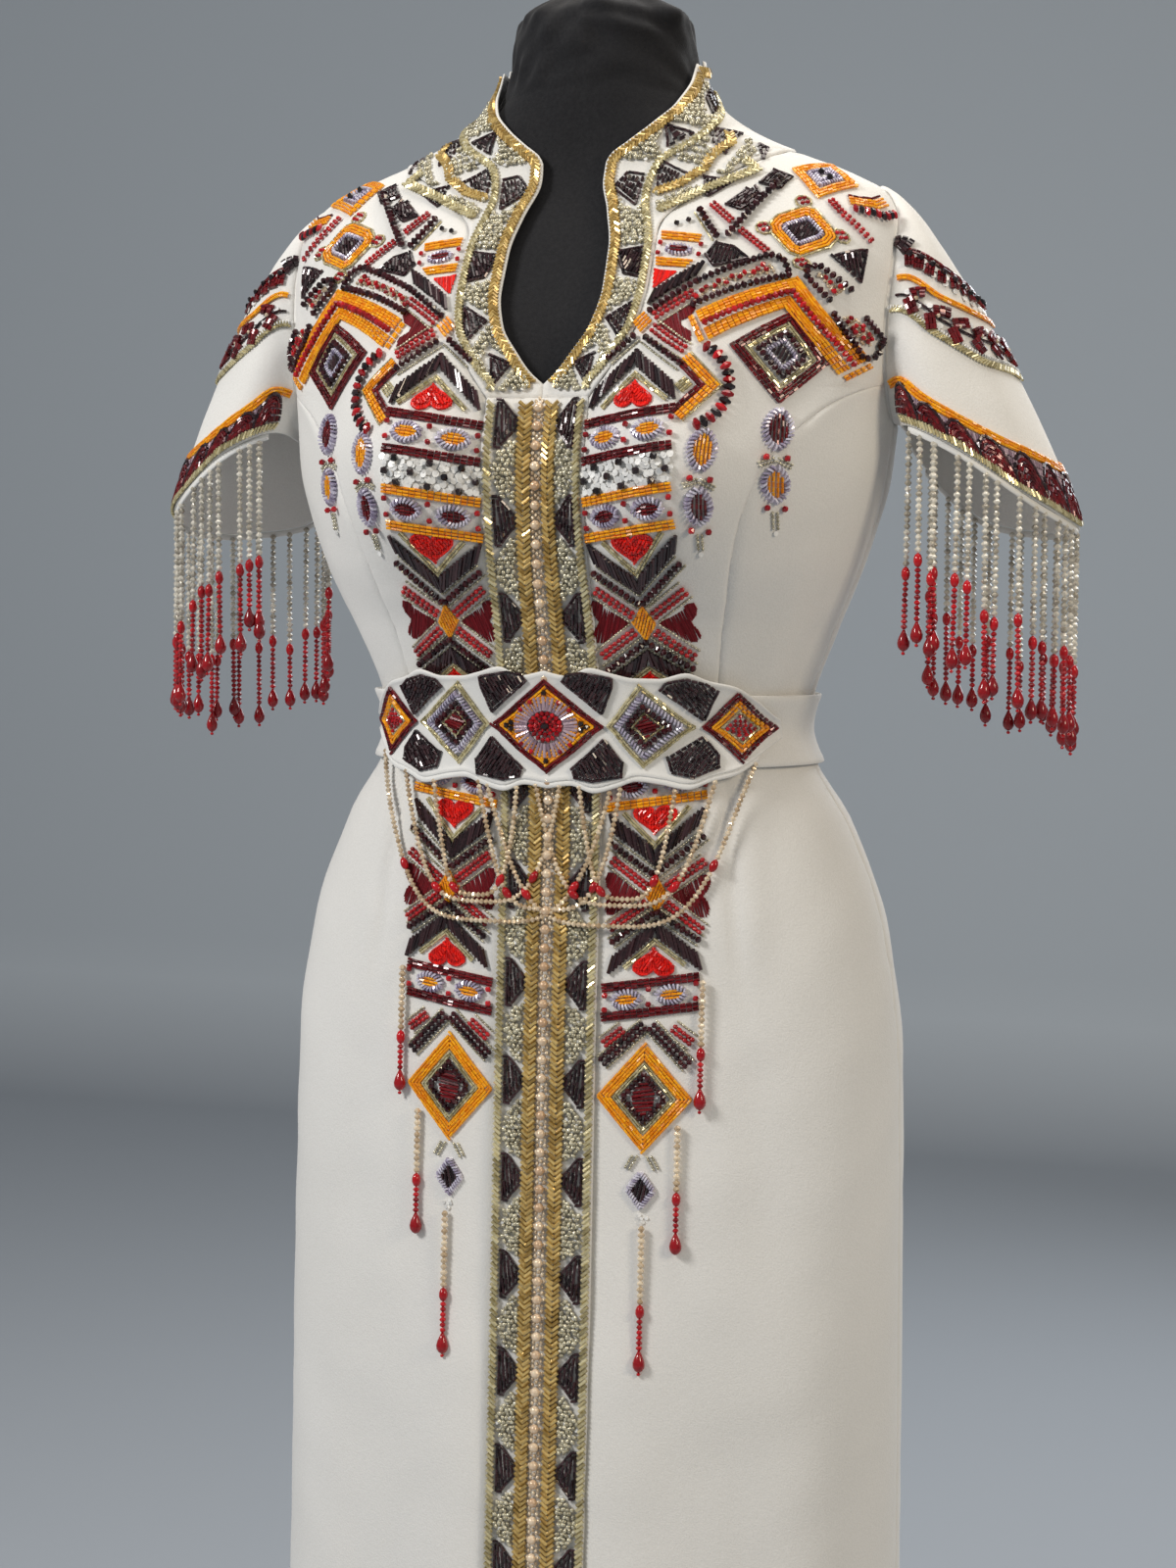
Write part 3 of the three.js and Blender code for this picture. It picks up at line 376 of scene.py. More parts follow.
def foldLift(points):  # how far the cloth swells out or sinks in, from the folds and a faint unevenness
    x, z = np.abs(points[..., 0]), points[..., 2]
    onFront = np.clip((centreAt(z) - points[..., 1]) / 30, 0, 1)
    total = ripple(points, 95, 2) * 0.35 + ripple(points, 40, 5) * 0.12  # broad and small unevenness
    for fold in folds:
        path = np.array(fold["path"], float)
        nearest, share = np.full(x.shape, 1e9), np.zeros(x.shape)
        spans = len(path) - 1
        for k in range(spans):
            a, b = path[k], path[k + 1]
            run = b - a
            t = np.clip(((x - a[0]) * run[0] + (z - a[1]) * run[1]) / (run @ run), 0, 1)
            gone = np.hypot(x - a[0] - t * run[0], z - a[1] - t * run[1])
            closer = gone < nearest
            nearest, share = np.where(closer, gone, nearest), np.where(closer, (k + t) / spans, share)
        ease = np.clip((1 - share) * 3, 0, 1) * np.clip(share * 8 + 0.3, 0, 1)
        depth = foldStrength * fold["depth"] * ease
        total = total + onFront * depth * np.exp(-(nearest / fold["width"])**2)
    low = np.clip((700 - z) / 600, 0, 1)  # the skirt loosens towards its hem
    turn = np.arctan2(points[..., 0], -(points[..., 1] - 12))
    return total + low * 1.6 * np.sin(turn * 7 + 0.6)


def seamLift(distance, along, depth=0.75, seed=0):  # the dip of a seam and the slight pucker beside it
    pucker = np.sin(along / 3.1 + seed) * np.sin(along / 7.3 + 2 * seed) * 0.28 * np.exp(-distance / 6)
    return pucker - depth * np.exp(-(distance / 1.5)**2)


def rowDistances(points):  # true distance of each grid point from the two ends of its row
    steps = np.linalg.norm(np.diff(points, axis=1), axis=-1)
    gone = np.concatenate([np.zeros((len(points), 1)), np.cumsum(steps, 1)], 1)
    return gone, gone[:, -1:] - gone


def evenRows(fixed, step):  # heights that pass through the fixed ones, about a step apart
    rows = []
    for low, high in zip(fixed[:-1], fixed[1:]):
        rows.extend(np.linspace(low, high, max(1, round((high - low) / step)) + 1)[:-1])
    return np.array(rows + [fixed[-1]])


def surfaceArea(points):  # of a grid of millimetre points, in square metres
    a, b, c, d = points[:-1, :-1], points[:-1, 1:], points[1:, 1:], points[1:, :-1]
    return 0.5 * (np.linalg.norm(np.cross(b - a, c - a), axis=-1)
                  + np.linalg.norm(np.cross(c - a, d - a), axis=-1)).sum() * 1e-6


def clothPanel(heights, left, right, columns, side=1, puckers=(1, 1), extra=None):
    turns = (left(heights)[:, None]
             + (right(heights) - left(heights))[:, None] * np.linspace(0, 1, columns + 1))
    z = heights[:, None] + np.zeros_like(turns)
    points, normals = wornPoint(turns, z), wornNormal(turns, z)
    fromLeft, fromRight = rowDistances(points)
    puckerLift = puckers[0] * seamLift(fromLeft, z, seed=1) + puckers[1] * seamLift(fromRight, z, seed=4)
    lift = foldLift(points) + puckerLift
    lift = np.clip(lift, *liftRange)
    if extra is not None:
        lift = lift + extra(points, turns)
    outer = points + normals * lift[..., None]
    inner = points + normals * (lift - cut["wall"])[..., None]
    if side < 0:
        outer, inner = outer * (-1, 1, 1), inner * (-1, 1, 1)
    return outer, inner


bothSides = (("right", 1), ("left", -1))


def sewPanel(name, cutSize, area, held="draped", restsOn="form_torso", slotName="crepe", **panel):
    for word, side in bothSides:
        outer, inner = clothPanel(side=side, **panel)
        piece = makeShell(f"{name}_{word}_cloth", outer, inner, crepe)
        finishPiece(piece, [f"{name}_{word}"])
        print(f"{name} {word}: area {surfaceArea(outer):.4f} m2, cut {cutSize}")


bodiceRows = evenRows([cut["waist"] + halfGap, 1078, bandTop, princessTop, 1300, 1407, 1415, 1423, 1428], 4)
sewPanel("bodice_front", (0.24, 0.42), 0.052, heights=bodiceRows,
         left=lambda z: stepTurn(centreEdge(z), z, halfGap),
         right=lambda z: stepTurn(frontOuterEdge(z), z, -halfGap), columns=46)
sideRows = evenRows([cut["waist"] + halfGap, cut["underarm"], princessTop], 4)
sewPanel("bodice_side", (0.12, 0.25), 0.0245, heights=sideRows,
         left=lambda z: stepTurn(princessTurn(z), z, halfGap),
         right=lambda z: stepTurn(np.where(z > cut["underarm"], armholeFront(z), quarter), z, -halfGap),
         columns=18)
backRows = evenRows([cut["waist"] + halfGap, cut["underarm"], cut["shoulderTip"], 1416, 1439,
                     cut["neckSeam"] - 0.3], 5)
sewPanel("bodice_back", (0.27, 0.44), 0.088, heights=backRows,
         left=lambda z: stepTurn(np.where((z > cut["underarm"]) & (z < cut["shoulderTip"]),
                                          armholeBack(z), quarter), z, halfGap),
         right=lambda z: stepTurn(half, z, -halfGap), columns=48)
skirtRows = evenRows([cut["hem"], 53, 60, 850, cut["waist"] - halfGap], 9.5)


def hemRidge(points, turns):  # the turned-up hem shows as a low ridge over a groove
    z = points[..., 2]
    return 0.25 * np.exp(-((z - 58) / 2.5)**2) - 0.35 * np.exp(-((z - 54) / 1.5)**2)


sewPanel("skirt_front", (0.26, 1.06), 0.242, held="hung", restsOn="belt_band", heights=skirtRows,
         left=lambda z: stepTurn(turnAtX(cut["bandHalf"], z), z, halfGap),
         right=lambda z: stepTurn(quarter, z, -halfGap), columns=52, extra=hemRidge)
sewPanel("skirt_back", (0.36, 1.06), 0.288, held="hung", restsOn="belt_band", heights=skirtRows,
         left=lambda z: stepTurn(quarter, z, halfGap), right=lambda z: stepTurn(half, z, -halfGap),
         columns=52, extra=hemRidge)
print("skirt and bodice made")

# Neckband, collar and front bands
railLift = makeCurve([0, 0.075, 0.1, 0.135, 0.5, 0.865, 0.9, 0.925, 1],
                     [0.9, 1.0, 0.7, 0.3, 0.3, 0.3, 0.7, 1.0, 0.9])


def collarTop(turn):
    return cut["collarSide"] + (cut["collarBack"] - cut["collarSide"]) * np.maximum(0, -np.cos(turn))


def neckbandExtra(points, turns):
    share = np.linspace(0, 1, points.shape[1])[None, :]
    return railLift(share) + 0 * points[..., 0]


neckRows = evenRows([bandTop + 0.3, 1300, 1400, 1428, 1441, cut["neckSeam"], 1465, cut["collarFront"]], 3)
sewPanel("neckband", (0.13, 0.3), 0.0140, heights=neckRows, slotName="beaded_band",
         left=lambda z: stepTurn(turnAtX(keyholeX(z), z), z, halfGap),
         right=lambda z: stepTurn(np.where(z < cut["neckbandMeetsShoulder"],
                                           turnAtX(neckbandX(z), z), quarter), z, -halfGap),
         columns=22, extra=neckbandExtra, puckers=(0.2, 0.6))

firstCollarTurn = stepTurn(quarter, cut["neckSeam"], halfGap)
collarTurns = np.linspace(float(firstCollarTurn), 2 * half - float(firstCollarTurn), 73)
collarShares = np.linspace(0, 1, 15)
collarZ = cut["neckSeam"] + 0.3 + collarShares[:, None] * (collarTop(collarTurns)[None, :]
                                                           - cut["neckSeam"])
collarPoints = wornPoint(collarTurns[None, :] + 0 * collarZ, collarZ)
collarNormals = wornNormal(collarTurns[None, :] + 0 * collarZ, collarZ)
collarLift = ripple(collarPoints, 60, 3) * 0.2 - 0.5 * np.exp(-((collarZ - cut["neckSeam"]) / 2)**2)
collar = makeShell("collar_back_cloth", collarPoints + collarNormals * collarLift[..., None],
                   collarPoints + collarNormals * (collarLift - cut["wall"])[..., None], crepe)
finishPiece(collar, ["collar_back"])
print(f"collar: area {surfaceArea(collarPoints):.4f} m2")

# The front bands: how far their raised edges and middle stand up, from the middle out
bandRise = makeCurve([0, 0.06, 0.3, 0.36, 0.84, 0.87, 0.9, 1], [1.6, 1.4, 1.0, 0.3, 0.3, 0.9, 1.0, 0.8])


def makeBand(node, rows):
    name = f"{node}_cloth"
    across = np.linspace(-1, 1, 41)
    z = rows[:, None] + 0 * across[None, :]
    turns = turnAtX(across[None, :] * (cut["bandHalf"] - halfGap), z)
    points, normals = wornPoint(turns, z), wornNormal(turns, z)
    lift = bandRise(np.abs(across))[None, :] + ripple(points, 30, 4) * 0.12
    piece = makeShell(name, points + normals * lift[..., None], points - normals * cut["wall"], crepe)
    finishPiece(piece, [node])
    print(f"{name}: area {surfaceArea(points):.4f} m2")


makeBand("band_upper", evenRows([cut["waist"] + halfGap, bandTop - 0.3], 5))
makeBand("band_lower", evenRows([cut["hem"], cut["waist"] - halfGap], 10))

# Sleeves
# Rings of eight points, and the ways the cloth leaves the armhole and meets the hem
sleeveHem = np.array([(311, 35, 1192), (292, -22, 1206), (248, -50, 1236), (213, -42, 1252), (207, 0, 1246),
                      (208, 48, 1232), (240, 98, 1200), (293, 88, 1190)], float)
sleeveStart = np.array([(70, 8, 10), (70, -30, -20), (14, 0, -4), (70, 40, -20)], float)
sleeveEnd = np.array([(40, 12, -170), (40, -8, -110), (2, 0, -14), (30, 20, -120)], float)
sleeve = dict(columns=108, rows=46, hemFold=0.9)


def ringPoint(ring, at):  # smooth closed curve through evenly spaced points
    count = len(ring)
    place = np.mod(at, 360) / (360 / count)
    i = np.floor(place).astype(int)
    s = (place - i)[..., None]
    a, b, c, d = [ring[(i + k) % count] for k in (-1, 0, 1, 2)]
    return b + 0.5 * s * (c - a + s * (2 * a - 5 * b + 4 * c - d + s * (3 * (b - c) + d - a)))


def sleevePoint(at, down):  # at 0 is the shoulder, 90 the front, 180 the underarm; down 0 armhole, 1 hem
    at, down = np.broadcast_arrays(np.asarray(at, float), np.asarray(down, float))
    place = np.mod(at, 360)
    z = armhole["middle"] + armhole["radius"] * np.cos(np.radians(place))
    ahead = place <= 180
    turn = np.where(ahead, armholeFront(z), armholeBack(z))
    start = wornPoint(stepTurn(turn, z, np.where(ahead, halfGap, -halfGap)), z) + (cut["gap"], 0, 0)
    s = down[..., None]
    return (start * (2 * s**3 - 3 * s**2 + 1) + ringPoint(sleeveStart, place) * (s**3 - 2 * s**2 + s)
            + ringPoint(sleeveHem, place) * (3 * s**2 - 2 * s**3)
            + ringPoint(sleeveEnd, place) * (s**3 - s**2))


def sleeveNormal(at, down):
    down = np.asarray(down, float)
    along = sleevePoint(at, np.minimum(1, down + 0.02)) - sleevePoint(at, np.maximum(0, down - 0.02))
    return unit(np.cross(sleevePoint(at + 4, down) - sleevePoint(at - 4, down), along))


def sleeveLift(at, down, points):
    turn = np.radians(at)
    cap = np.clip(np.cos(turn), 0, 1)
    ease = np.sin(turn * 26) * 0.4 * cap * np.exp(-down / 0.07)  # gathers of the cap at the armhole seam
    soft = 1.6 * np.sin(turn * 3 + 1.2) * np.sin(down * 2.8) + 0.9 * np.sin(turn * 7 + down * 3) * down
    seam = -0.8 * np.exp(-(down * 110 / 1.6)**2)
    edge = -0.3 * np.exp(-((down - sleeve["hemFold"]) * 110 / 1.2)**2)
    return ease + soft * np.clip(down * 4, 0, 1) * 0.7 + seam + edge + ripple(points, 45, 6) * 0.15


def sleeveOn(at, down, lift):  # a point lifted off the sleeve's own cloth, with its outward normal
    points, normals = sleevePoint(at, down), sleeveNormal(at, down)
    return points + normals * (sleeveLift(at, down, points) + lift)[..., None], normals


sleeveAt = np.linspace(0, 360, sleeve["columns"], endpoint=False)[None, :]
sleeveDown = np.linspace(0, 1, sleeve["rows"] + 1)[:, None] + 0 * sleeveAt
sleeveAt = sleeveAt + 0 * sleeveDown
for word, side in bothSides:
    outer, inner = [sleeveOn(sleeveAt, sleeveDown, lift + 0 * sleeveDown)[0] * (side, 1, 1)
                    for lift in (0, -cut["wall"])]
    piece = makeShell(f"sleeve_{word}_cloth", outer, inner, crepe, wraps=True)
    finishPiece(piece, [f"sleeve_{word}"])
    print(f"sleeve {word}: area {surfaceArea(outer):.4f} m2")
    tapeTurn = np.linspace(0, 360, 120, endpoint=False)
    tapeHeight = armhole["middle"] + armhole["radius"] * np.cos(np.radians(tapeTurn))
    tapeSkins = []
    for sink in (0, 0.7):  # a tape behind the armhole seam, from under the bodice to under the sleeve
        edges = []
        for inward, depth in ((5, 1.9), (0.6, 1.5)):
            seamAt = np.where(tapeTurn <= 180, stepTurn(armholeFront(tapeHeight), tapeHeight, -inward),
                              stepTurn(armholeBack(tapeHeight), tapeHeight, inward))
            edges.append(wornPoint(seamAt, tapeHeight) - wornNormal(seamAt, tapeHeight) * (depth + sink))
        edges += [sleeveOn(tapeTurn, share + 0 * tapeTurn, -depth - sink + 0 * tapeTurn)[0]
                  for share, depth in ((0.006, 1.0), (0.045, 1.9))]
        tapeSkins.append(np.stack(edges) * (side, 1, 1))
    finishPiece(makeShell(f"armhole_{word}_tape", tapeSkins[0], tapeSkins[1], crepe, wraps=True))

# Belt
belt = dict(low=1037, high=1084, outside=5.2, wall=1.6, around=150)
beltZ = np.linspace(belt["low"], belt["high"], 17)[:, None]
beltTurns = np.linspace(0, 2 * half, belt["around"], endpoint=False)[None, :]
beltZ, beltTurns = beltZ + 0 * beltTurns, beltTurns + 0 * beltZ
beltPoints, beltNormals = wornPoint(beltTurns, beltZ), wornNormal(beltTurns, beltZ)
crease = sum(np.exp(-((np.degrees(beltTurns) - at) / 0.8)**2) * depth * np.clip((beltZ - low) / 10, 0.2, 1)
             for at, depth, low in ((76, -1.0, 1030), (81, -1.2, 1034), (85, -0.9, 1030), (96, -0.8, 1040),
                                    (283, -0.8, 1034), (277, -1.0, 1030), (180, -1.0, 1030)))
beltEdge = 0.5 * (np.exp(-((beltZ - belt["low"] - 2) / 1.6)**2)
                  + np.exp(-((belt["high"] - 2 - beltZ) / 1.6)**2))
beltLift = crease + beltEdge + ripple(beltPoints, 50, 7) * 0.3
beltOuter = beltPoints + beltNormals * (belt["outside"] + beltLift - 0.5)[..., None]
beltInner = beltPoints + beltNormals * (belt["outside"] - belt["wall"])
beltCloth = makeShell("belt_band_cloth", beltOuter, beltInner, crepe, wraps=True)
finishPiece(beltCloth, ["belt_band"])
print(f"belt: area {surfaceArea(beltOuter):.4f} m2")

plaqueTable = np.array([(0, 36, 35), (15, 33, 33), (29, 38.5, 37.5), (43, 35, 34), (55, 32.5, 30),
                        (69, 32.5, 32), (85, 36.5, 35.5), (97, 31.5, 31), (110, 28, 27.5), (120, 19, 19),
                        (129, 7, 8)], float)
plaqueUp, plaqueDown = [makeCurve(plaqueTable[:, 0], plaqueTable[:, k]) for k in (1, 2)]
plaque = dict(middle=1063, inside=7, outside=8.6, half=129)


def overFront(x, z, lift=0):
    turn = turnAtX(x, z)
    return wornPoint(turn, z) + wornNormal(turn, z) * np.asarray(lift)[..., None]


plaqueX = np.linspace(-plaque["half"], plaque["half"], 105)[None, :]
plaqueShare = np.linspace(-1, 1, 29)[:, None]
plaqueReach = np.where(plaqueShare > 0, plaqueUp(np.abs(plaqueX)), plaqueDown(np.abs(plaqueX)))
plaqueZ = plaque["middle"] + plaqueShare * plaqueReach
plaqueX = plaqueX + 0 * plaqueZ
piping = 1.1 * np.exp(-((1 - np.abs(plaqueShare)) * plaqueReach / 2.2)**2)
plaqueOuter = overFront(plaqueX, plaqueZ, plaque["outside"] - 0.4 + piping)
plaqueInner = overFront(plaqueX, plaqueZ, plaque["inside"] + 0 * plaqueZ)
plaqueCloth = makeShell("belt_plaque_cloth", plaqueOuter, plaqueInner, satinEdge)
finishPiece(plaqueCloth, ["belt_plaque"])
print(f"plaque: area {surfaceArea(plaqueOuter):.4f} m2")

# Dress form and stand
form = dict(clear=6.5, around=168)
formRows = np.concatenate([evenRows([780, 1050, 1260, 1430], 12), evenRows([1433, 1471, 1474, 1545], 2.6)])
formZ = np.concatenate([[752, 752.6, 755, 759, 764, 771], formRows, [1547, 1553, 1558, 1561.5, 1564, 1565]])
formGrow = np.concatenate([[-27, -17, -11, -6, -3, -1.2], 0 * formRows, [0, 0, 0, -1, -3, -8]])
formTurns = np.linspace(0, 2 * half, form["around"], endpoint=False)[None, :]
zGrid = formZ[:, None] + 0 * formTurns
growGrid = formGrow[:, None] + 0 * formTurns
formTurns = formTurns + 0 * zGrid
formPoints = wornPoint(formTurns, zGrid, growGrid)
formNormals = wornNormal(formTurns, zGrid)
coverEdge = 1471  # the neck's cloth cover ends here and is bunched up above
bunch = makeCurve([1505, 1519, 1527, 1534, 1541, 1550, 1565], [0, -3, -13, -25, -33, -38, -40])
neckCover = np.clip((zGrid - coverEdge) / 3, 0, 1)
high = np.clip((zGrid - 1488) / 40, 0, 1)
knotTurn, knotZ = math.radians(63), 1519


# A soft ridge between two places round the neck
def hangingFold(fromTurn, fromZ, toTurn, toZ, depth, width):
    span = math.radians(toTurn - fromTurn)
    share = np.clip((formTurns - math.radians(fromTurn)) / span, 0, 1)
    middle = fromZ + (toZ - fromZ) * share + 5 * np.sin(share * half)
    ends = np.sin(share * half)**0.6
    return depth * ends * np.exp(-((zGrid - middle) / width)**2)


gather = 0.9 * neckCover + high * (np.sin(formTurns * 7 + 0.7 + zGrid / 9) * 2.2
                                   + np.sin(formTurns * 17 + zGrid / 7) * 0.9)
gather = gather + ripple(formPoints, 34, 8) * 1.3 * neckCover
gather = gather + hangingFold(-75, 1530, 66, 1512, 3.6, 4.5) + hangingFold(-40, 1512, 62, 1500, 2.8, 4)
gather = gather + hangingFold(-80, 1500, 20, 1490, 2.0, 4) + hangingFold(10, 1541, 70, 1524, 5, 5)
gather = gather + 7 * np.exp(-((formTurns - knotTurn) / 0.22)**2 - ((zGrid - knotZ) / 7)**2)
gather = gather + bunch(zGrid) + 2.5 * np.sin(formTurns * 6 + 1) * np.clip((zGrid - 1530) / 20, 0, 1)
seam = -0.5 * np.exp(-(np.minimum(formTurns, 2 * half - formTurns) * 60 / 1.2)**2)
formOuter = formPoints + formNormals * (gather + seam - form["clear"])[..., None]
rows, cols = zGrid.shape
index = np.arange(rows * cols).reshape(rows, cols)
index = np.concatenate([index, index[:, :1]], 1)
quads = np.stack([index[:-1, :-1], index[:-1, 1:], index[1:, 1:], index[1:, :-1]],
                 -1).reshape(-1, 4).tolist()
capPoints = np.concatenate([formOuter.reshape(-1, 3), [(0, 10, 752), (0, 13, 1565.6)]])
bottom, top = rows * cols, rows * cols + 1
caps = [[bottom, index[0, k + 1], index[0, k]] for k in range(cols)]
caps += [[top, index[-1, k], index[-1, k + 1]] for k in range(cols)]
formPiece = makePiece("form_torso_jersey", capPoints, quads + caps, jersey)
finishPiece(formPiece, ["form_torso"])
baseMetal = metalMaterial("blackBaseMetal", (0.03, 0.03, 0.033), 0.35, 0.8)
steel = metalMaterial("brushedSteel", (0.55, 0.56, 0.58), 0.22, 1.0)
for node, metal in (("stand_base", baseMetal), ("stand_hub", baseMetal), ("stand_pole", steel)):
    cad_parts[node].data.materials.clear()
    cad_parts[node].data.materials.append(metal)
print("belt, form and stand made")

# Beads: shapes and glass
# Rings are (place along the bead, radius), as shares of its length and width
beadShapes = {
    "tube": dict(sides=5, rings=[(-0.5, 0.5), (0.5, 0.5)], smooth=False),
    "seed": dict(sides=5, rings=[(-0.5, 0.24), (0, 0.5), (0.5, 0.24)], smooth=True),
    "crystal": dict(sides=6, rings=[(-0.5, 0.2), (-0.12, 0.5), (0.12, 0.5), (0.5, 0.2)], smooth=False),
    "disc": dict(sides=8, rings=[(-0.5, 0.5), (0.5, 0.5)], smooth=False),
    "pearl": dict(sides=9, rings=[(-0.5, 0.08), (-0.38, 0.33), (-0.14, 0.48), (0.14, 0.48), (0.38, 0.33),
                                  (0.5, 0.08)],
                  smooth=True),
    "drop": dict(sides=10, rings=[(-0.5, 0.08), (-0.42, 0.3), (-0.28, 0.46), (-0.1, 0.5), (0.1, 0.42),
                                  (0.3, 0.26), (0.5, 0.1)], smooth=True),
}


def makeBeadShape(name, sides, rings, smooth):
    angle = np.linspace(0, 2 * math.pi, sides, endpoint=False)
    points = np.concatenate([np.stack([r * np.cos(angle), r * np.sin(angle), z + 0 * angle], -1)
                             for z, r in rings])
    polygons = []
    for k in range(len(rings) - 1):
        for i in range(sides):
            j = (i + 1) % sides
            polygons.append([k * sides + i, k * sides + j, (k + 1) * sides + j, (k + 1) * sides + i])
    polygons.append(list(range(sides))[::-1])
    polygons.append([(len(rings) - 1) * sides + i for i in range(sides)])
    mesh = bpy.data.meshes.new(name)
    mesh.from_pydata(points.tolist(), [], polygons)
    if smooth:
        mesh.shade_smooth()
    shape = bpy.data.objects.new(name, mesh)
    bpy.context.scene.collection.objects.link(shape)
    return shape


beadShape = {name: makeBeadShape(f"{name}Shape", **facts) for name, facts in beadShapes.items()}


def beadGlass(name, deep, bright, roughness=0.16, metallic=0.0, coat=0.3, specular=0.4):
    material, tree, shader = newMaterial(name)
    tint = addNode(tree, "ShaderNodeAttribute", attribute_name="tint").outputs["Fac"]
    place = addNode(tree, "ShaderNodeTexCoord").outputs["Object"]
    streak = noise(tree, place, 650, 1)
    tone = combine(tree, tint, remap(tree, streak, 0.3, 0.7, -0.25, 0.25))
    tree.links.new(blend(tree, deep, bright, remap(tree, tone, 0, 1)), shader.inputs["Base Color"])
    tree.links.new(remap(tree, tint, 0, 1, roughness * 1.5, roughness * 0.7), shader.inputs["Roughness"])
    bumped(tree, shader, streak, 0.12, 0.0003)
    shader.inputs["Metallic"].default_value = metallic
    shader.inputs["Coat Weight"].default_value = coat
    shader.inputs["Coat Roughness"].default_value = 0.06
    shader.inputs["Specular IOR Level"].default_value = specular
    return material


# Kind of bead: shape, the record's slot, and its glass: name, deep and bright colour, then roughness,
# metallic, coat and specular where they aren't beadGlass's own
beadTable = {
    "oldGold": ("tube", "beaded_band", "oldGoldBugle", (0.34, 0.21, 0.055), (0.80, 0.58, 0.22), 0.2, 0.4),
    "paleGold": ("tube", "beaded_band", "paleGoldBugle", (0.35, 0.29, 0.14), (0.84, 0.75, 0.46), 0.17,
                 0.45),
    "silver": ("seed", "beaded_band", "champagneSeed", (0.32, 0.29, 0.20), (0.76, 0.71, 0.54), 0.13, 0.35),
    "brown": ("tube", "plaque_beads", "aubergineBugle", (0.010, 0.004, 0.006), (0.058, 0.024, 0.028), 0.12,
              0.15, 0.35, 0.45),
    "darkBead": ("crystal", "plaque_beads", "blackCherryBead", (0.010, 0.002, 0.004), (0.065, 0.010, 0.014),
                 0.12, 0.0, 0.3),
    "garnet": ("tube", "red_beads", "garnetBugle", (0.055, 0.002, 0.004), (0.20, 0.008, 0.012), 0.15, 0.1),
    "ruby": ("seed", "red_beads", "rubySeed", (0.24, 0.004, 0.008), (0.56, 0.015, 0.02), 0.14),
    "rubyCrystal": ("crystal", "red_beads", "rubyCrystal", (0.20, 0.003, 0.007), (0.60, 0.015, 0.022), 0.1),
    "rubyDrop": ("drop", "red_beads", "rubyDrop", (0.20, 0.003, 0.007), (0.36, 0.006, 0.011), 0.14),
    "rubyOval": ("pearl", "red_beads", "rubyOval", (0.34, 0.003, 0.008), (0.58, 0.008, 0.014), 0.12),
    "orange": ("tube", "plaque_beads", "orangeBugle", (0.80, 0.24, 0.004), (1.0, 0.46, 0.012), 0.2, 0.0,
               0.25),
    "lilac": ("disc", "pearl_beads", "lilacSequin", (0.34, 0.29, 0.42), (0.78, 0.75, 0.86), 0.18, 0.15),
    "lilacBugle": ("tube", "pearl_beads", "lilacBugle", (0.26, 0.17, 0.22), (0.56, 0.42, 0.47), 0.16, 0.15),
    "clear": ("disc", "pearl_beads", "clearSequin", (0.66, 0.66, 0.65), (0.97, 0.96, 0.93), 0.3, 0.0, 0.35),
    "scarletThread": ("tube", "red_beads", "scarletThread", (0.50, 0.004, 0.003), (0.94, 0.018, 0.010),
                      0.24, 0, 0.2, 0.4),
    "wineThread": ("tube", "red_beads", "wineThread", (0.115, 0.003, 0.007), (0.21, 0.007, 0.014), 0.5, 0,
                   0.05, 0.25),
    "rose": ("crystal", "pearl_beads", "champagneCrystal", (0.50, 0.36, 0.22), (0.94, 0.80, 0.60), 0.13,
             0.25),
    "smoke": ("crystal", "pearl_beads", "smokyCrystal", (0.38, 0.34, 0.27), (0.88, 0.83, 0.72), 0.1, 0.15,
              0.5, 0.6),
    "roseSeed": ("seed", "pearl_beads", "champagneRoseSeed", (0.50, 0.36, 0.22), (0.94, 0.80, 0.60), 0.13,
                 0.25),
    "rosePearl": ("pearl", "pearl_beads", "rosePearl", (0.62, 0.40, 0.24), (0.96, 0.78, 0.58), 0.1, 0.2,
                  0.6),
    "jet": ("crystal", "plaque_beads", "jetCrystal", (0.005, 0.003, 0.004), (0.028, 0.016, 0.018), 0.1),
}
beadKinds = {kind: (shape, beadGlass(*glass), slotName)
             for kind, (shape, slotName, *glass) in beadTable.items()}
draw = np.random.default_rng(11)
beadBins = {}  # (region, kind): lists of x, v, angle, width, length, lift


def put(region, kind, x, v, angle, width, length, lift=0.0):
    cells = np.broadcast_arrays(*[np.asarray(c, float) for c in (x, v, angle, width, length, lift)])
    beadBins.setdefault((region, kind), []).append(np.stack([c.ravel() for c in cells]))


# Ways of laying beads on a flat chart
def walk(path, pitch, closed=False):  # even places along a path, with the way it runs there
    path = np.asarray(path, float)
    if closed:
        path = np.concatenate([path, path[:1]])
    spans = np.linalg.norm(np.diff(path, axis=0), axis=1)
    gone = np.concatenate([[0], np.cumsum(spans)])
    count = max(1, int(round(gone[-1] / pitch)))
    at = (np.arange(count) + 0.5) * gone[-1] / count
    i = np.clip(np.searchsorted(gone, at, side="right") - 1, 0, len(spans) - 1)
    step = np.diff(path, axis=0)[i]
    places = path[i] + step * ((at - gone[i]) / np.maximum(spans[i], 1e-9))[:, None]
    return places, np.arctan2(step[:, 1], step[:, 0])


def shiftPath(path, distance, closed=False):  # a path moved to its left by a distance, with mitred corners
    path = np.asarray(path, float)
    before, after = np.roll(path, 1, 0), np.roll(path, -1, 0)
    if not closed:
        before[0], after[-1] = 2 * path[0] - path[1], 2 * path[-1] - path[-2]
    a, b = unit(path - before), unit(after - path)
    normalA, normalB = np.stack([-a[:, 1], a[:, 0]], -1), np.stack([-b[:, 1], b[:, 0]], -1)
    mitre = normalA + normalB
    return path + mitre * (distance * 2 / np.maximum((mitre**2).sum(1), 0.5))[:, None]


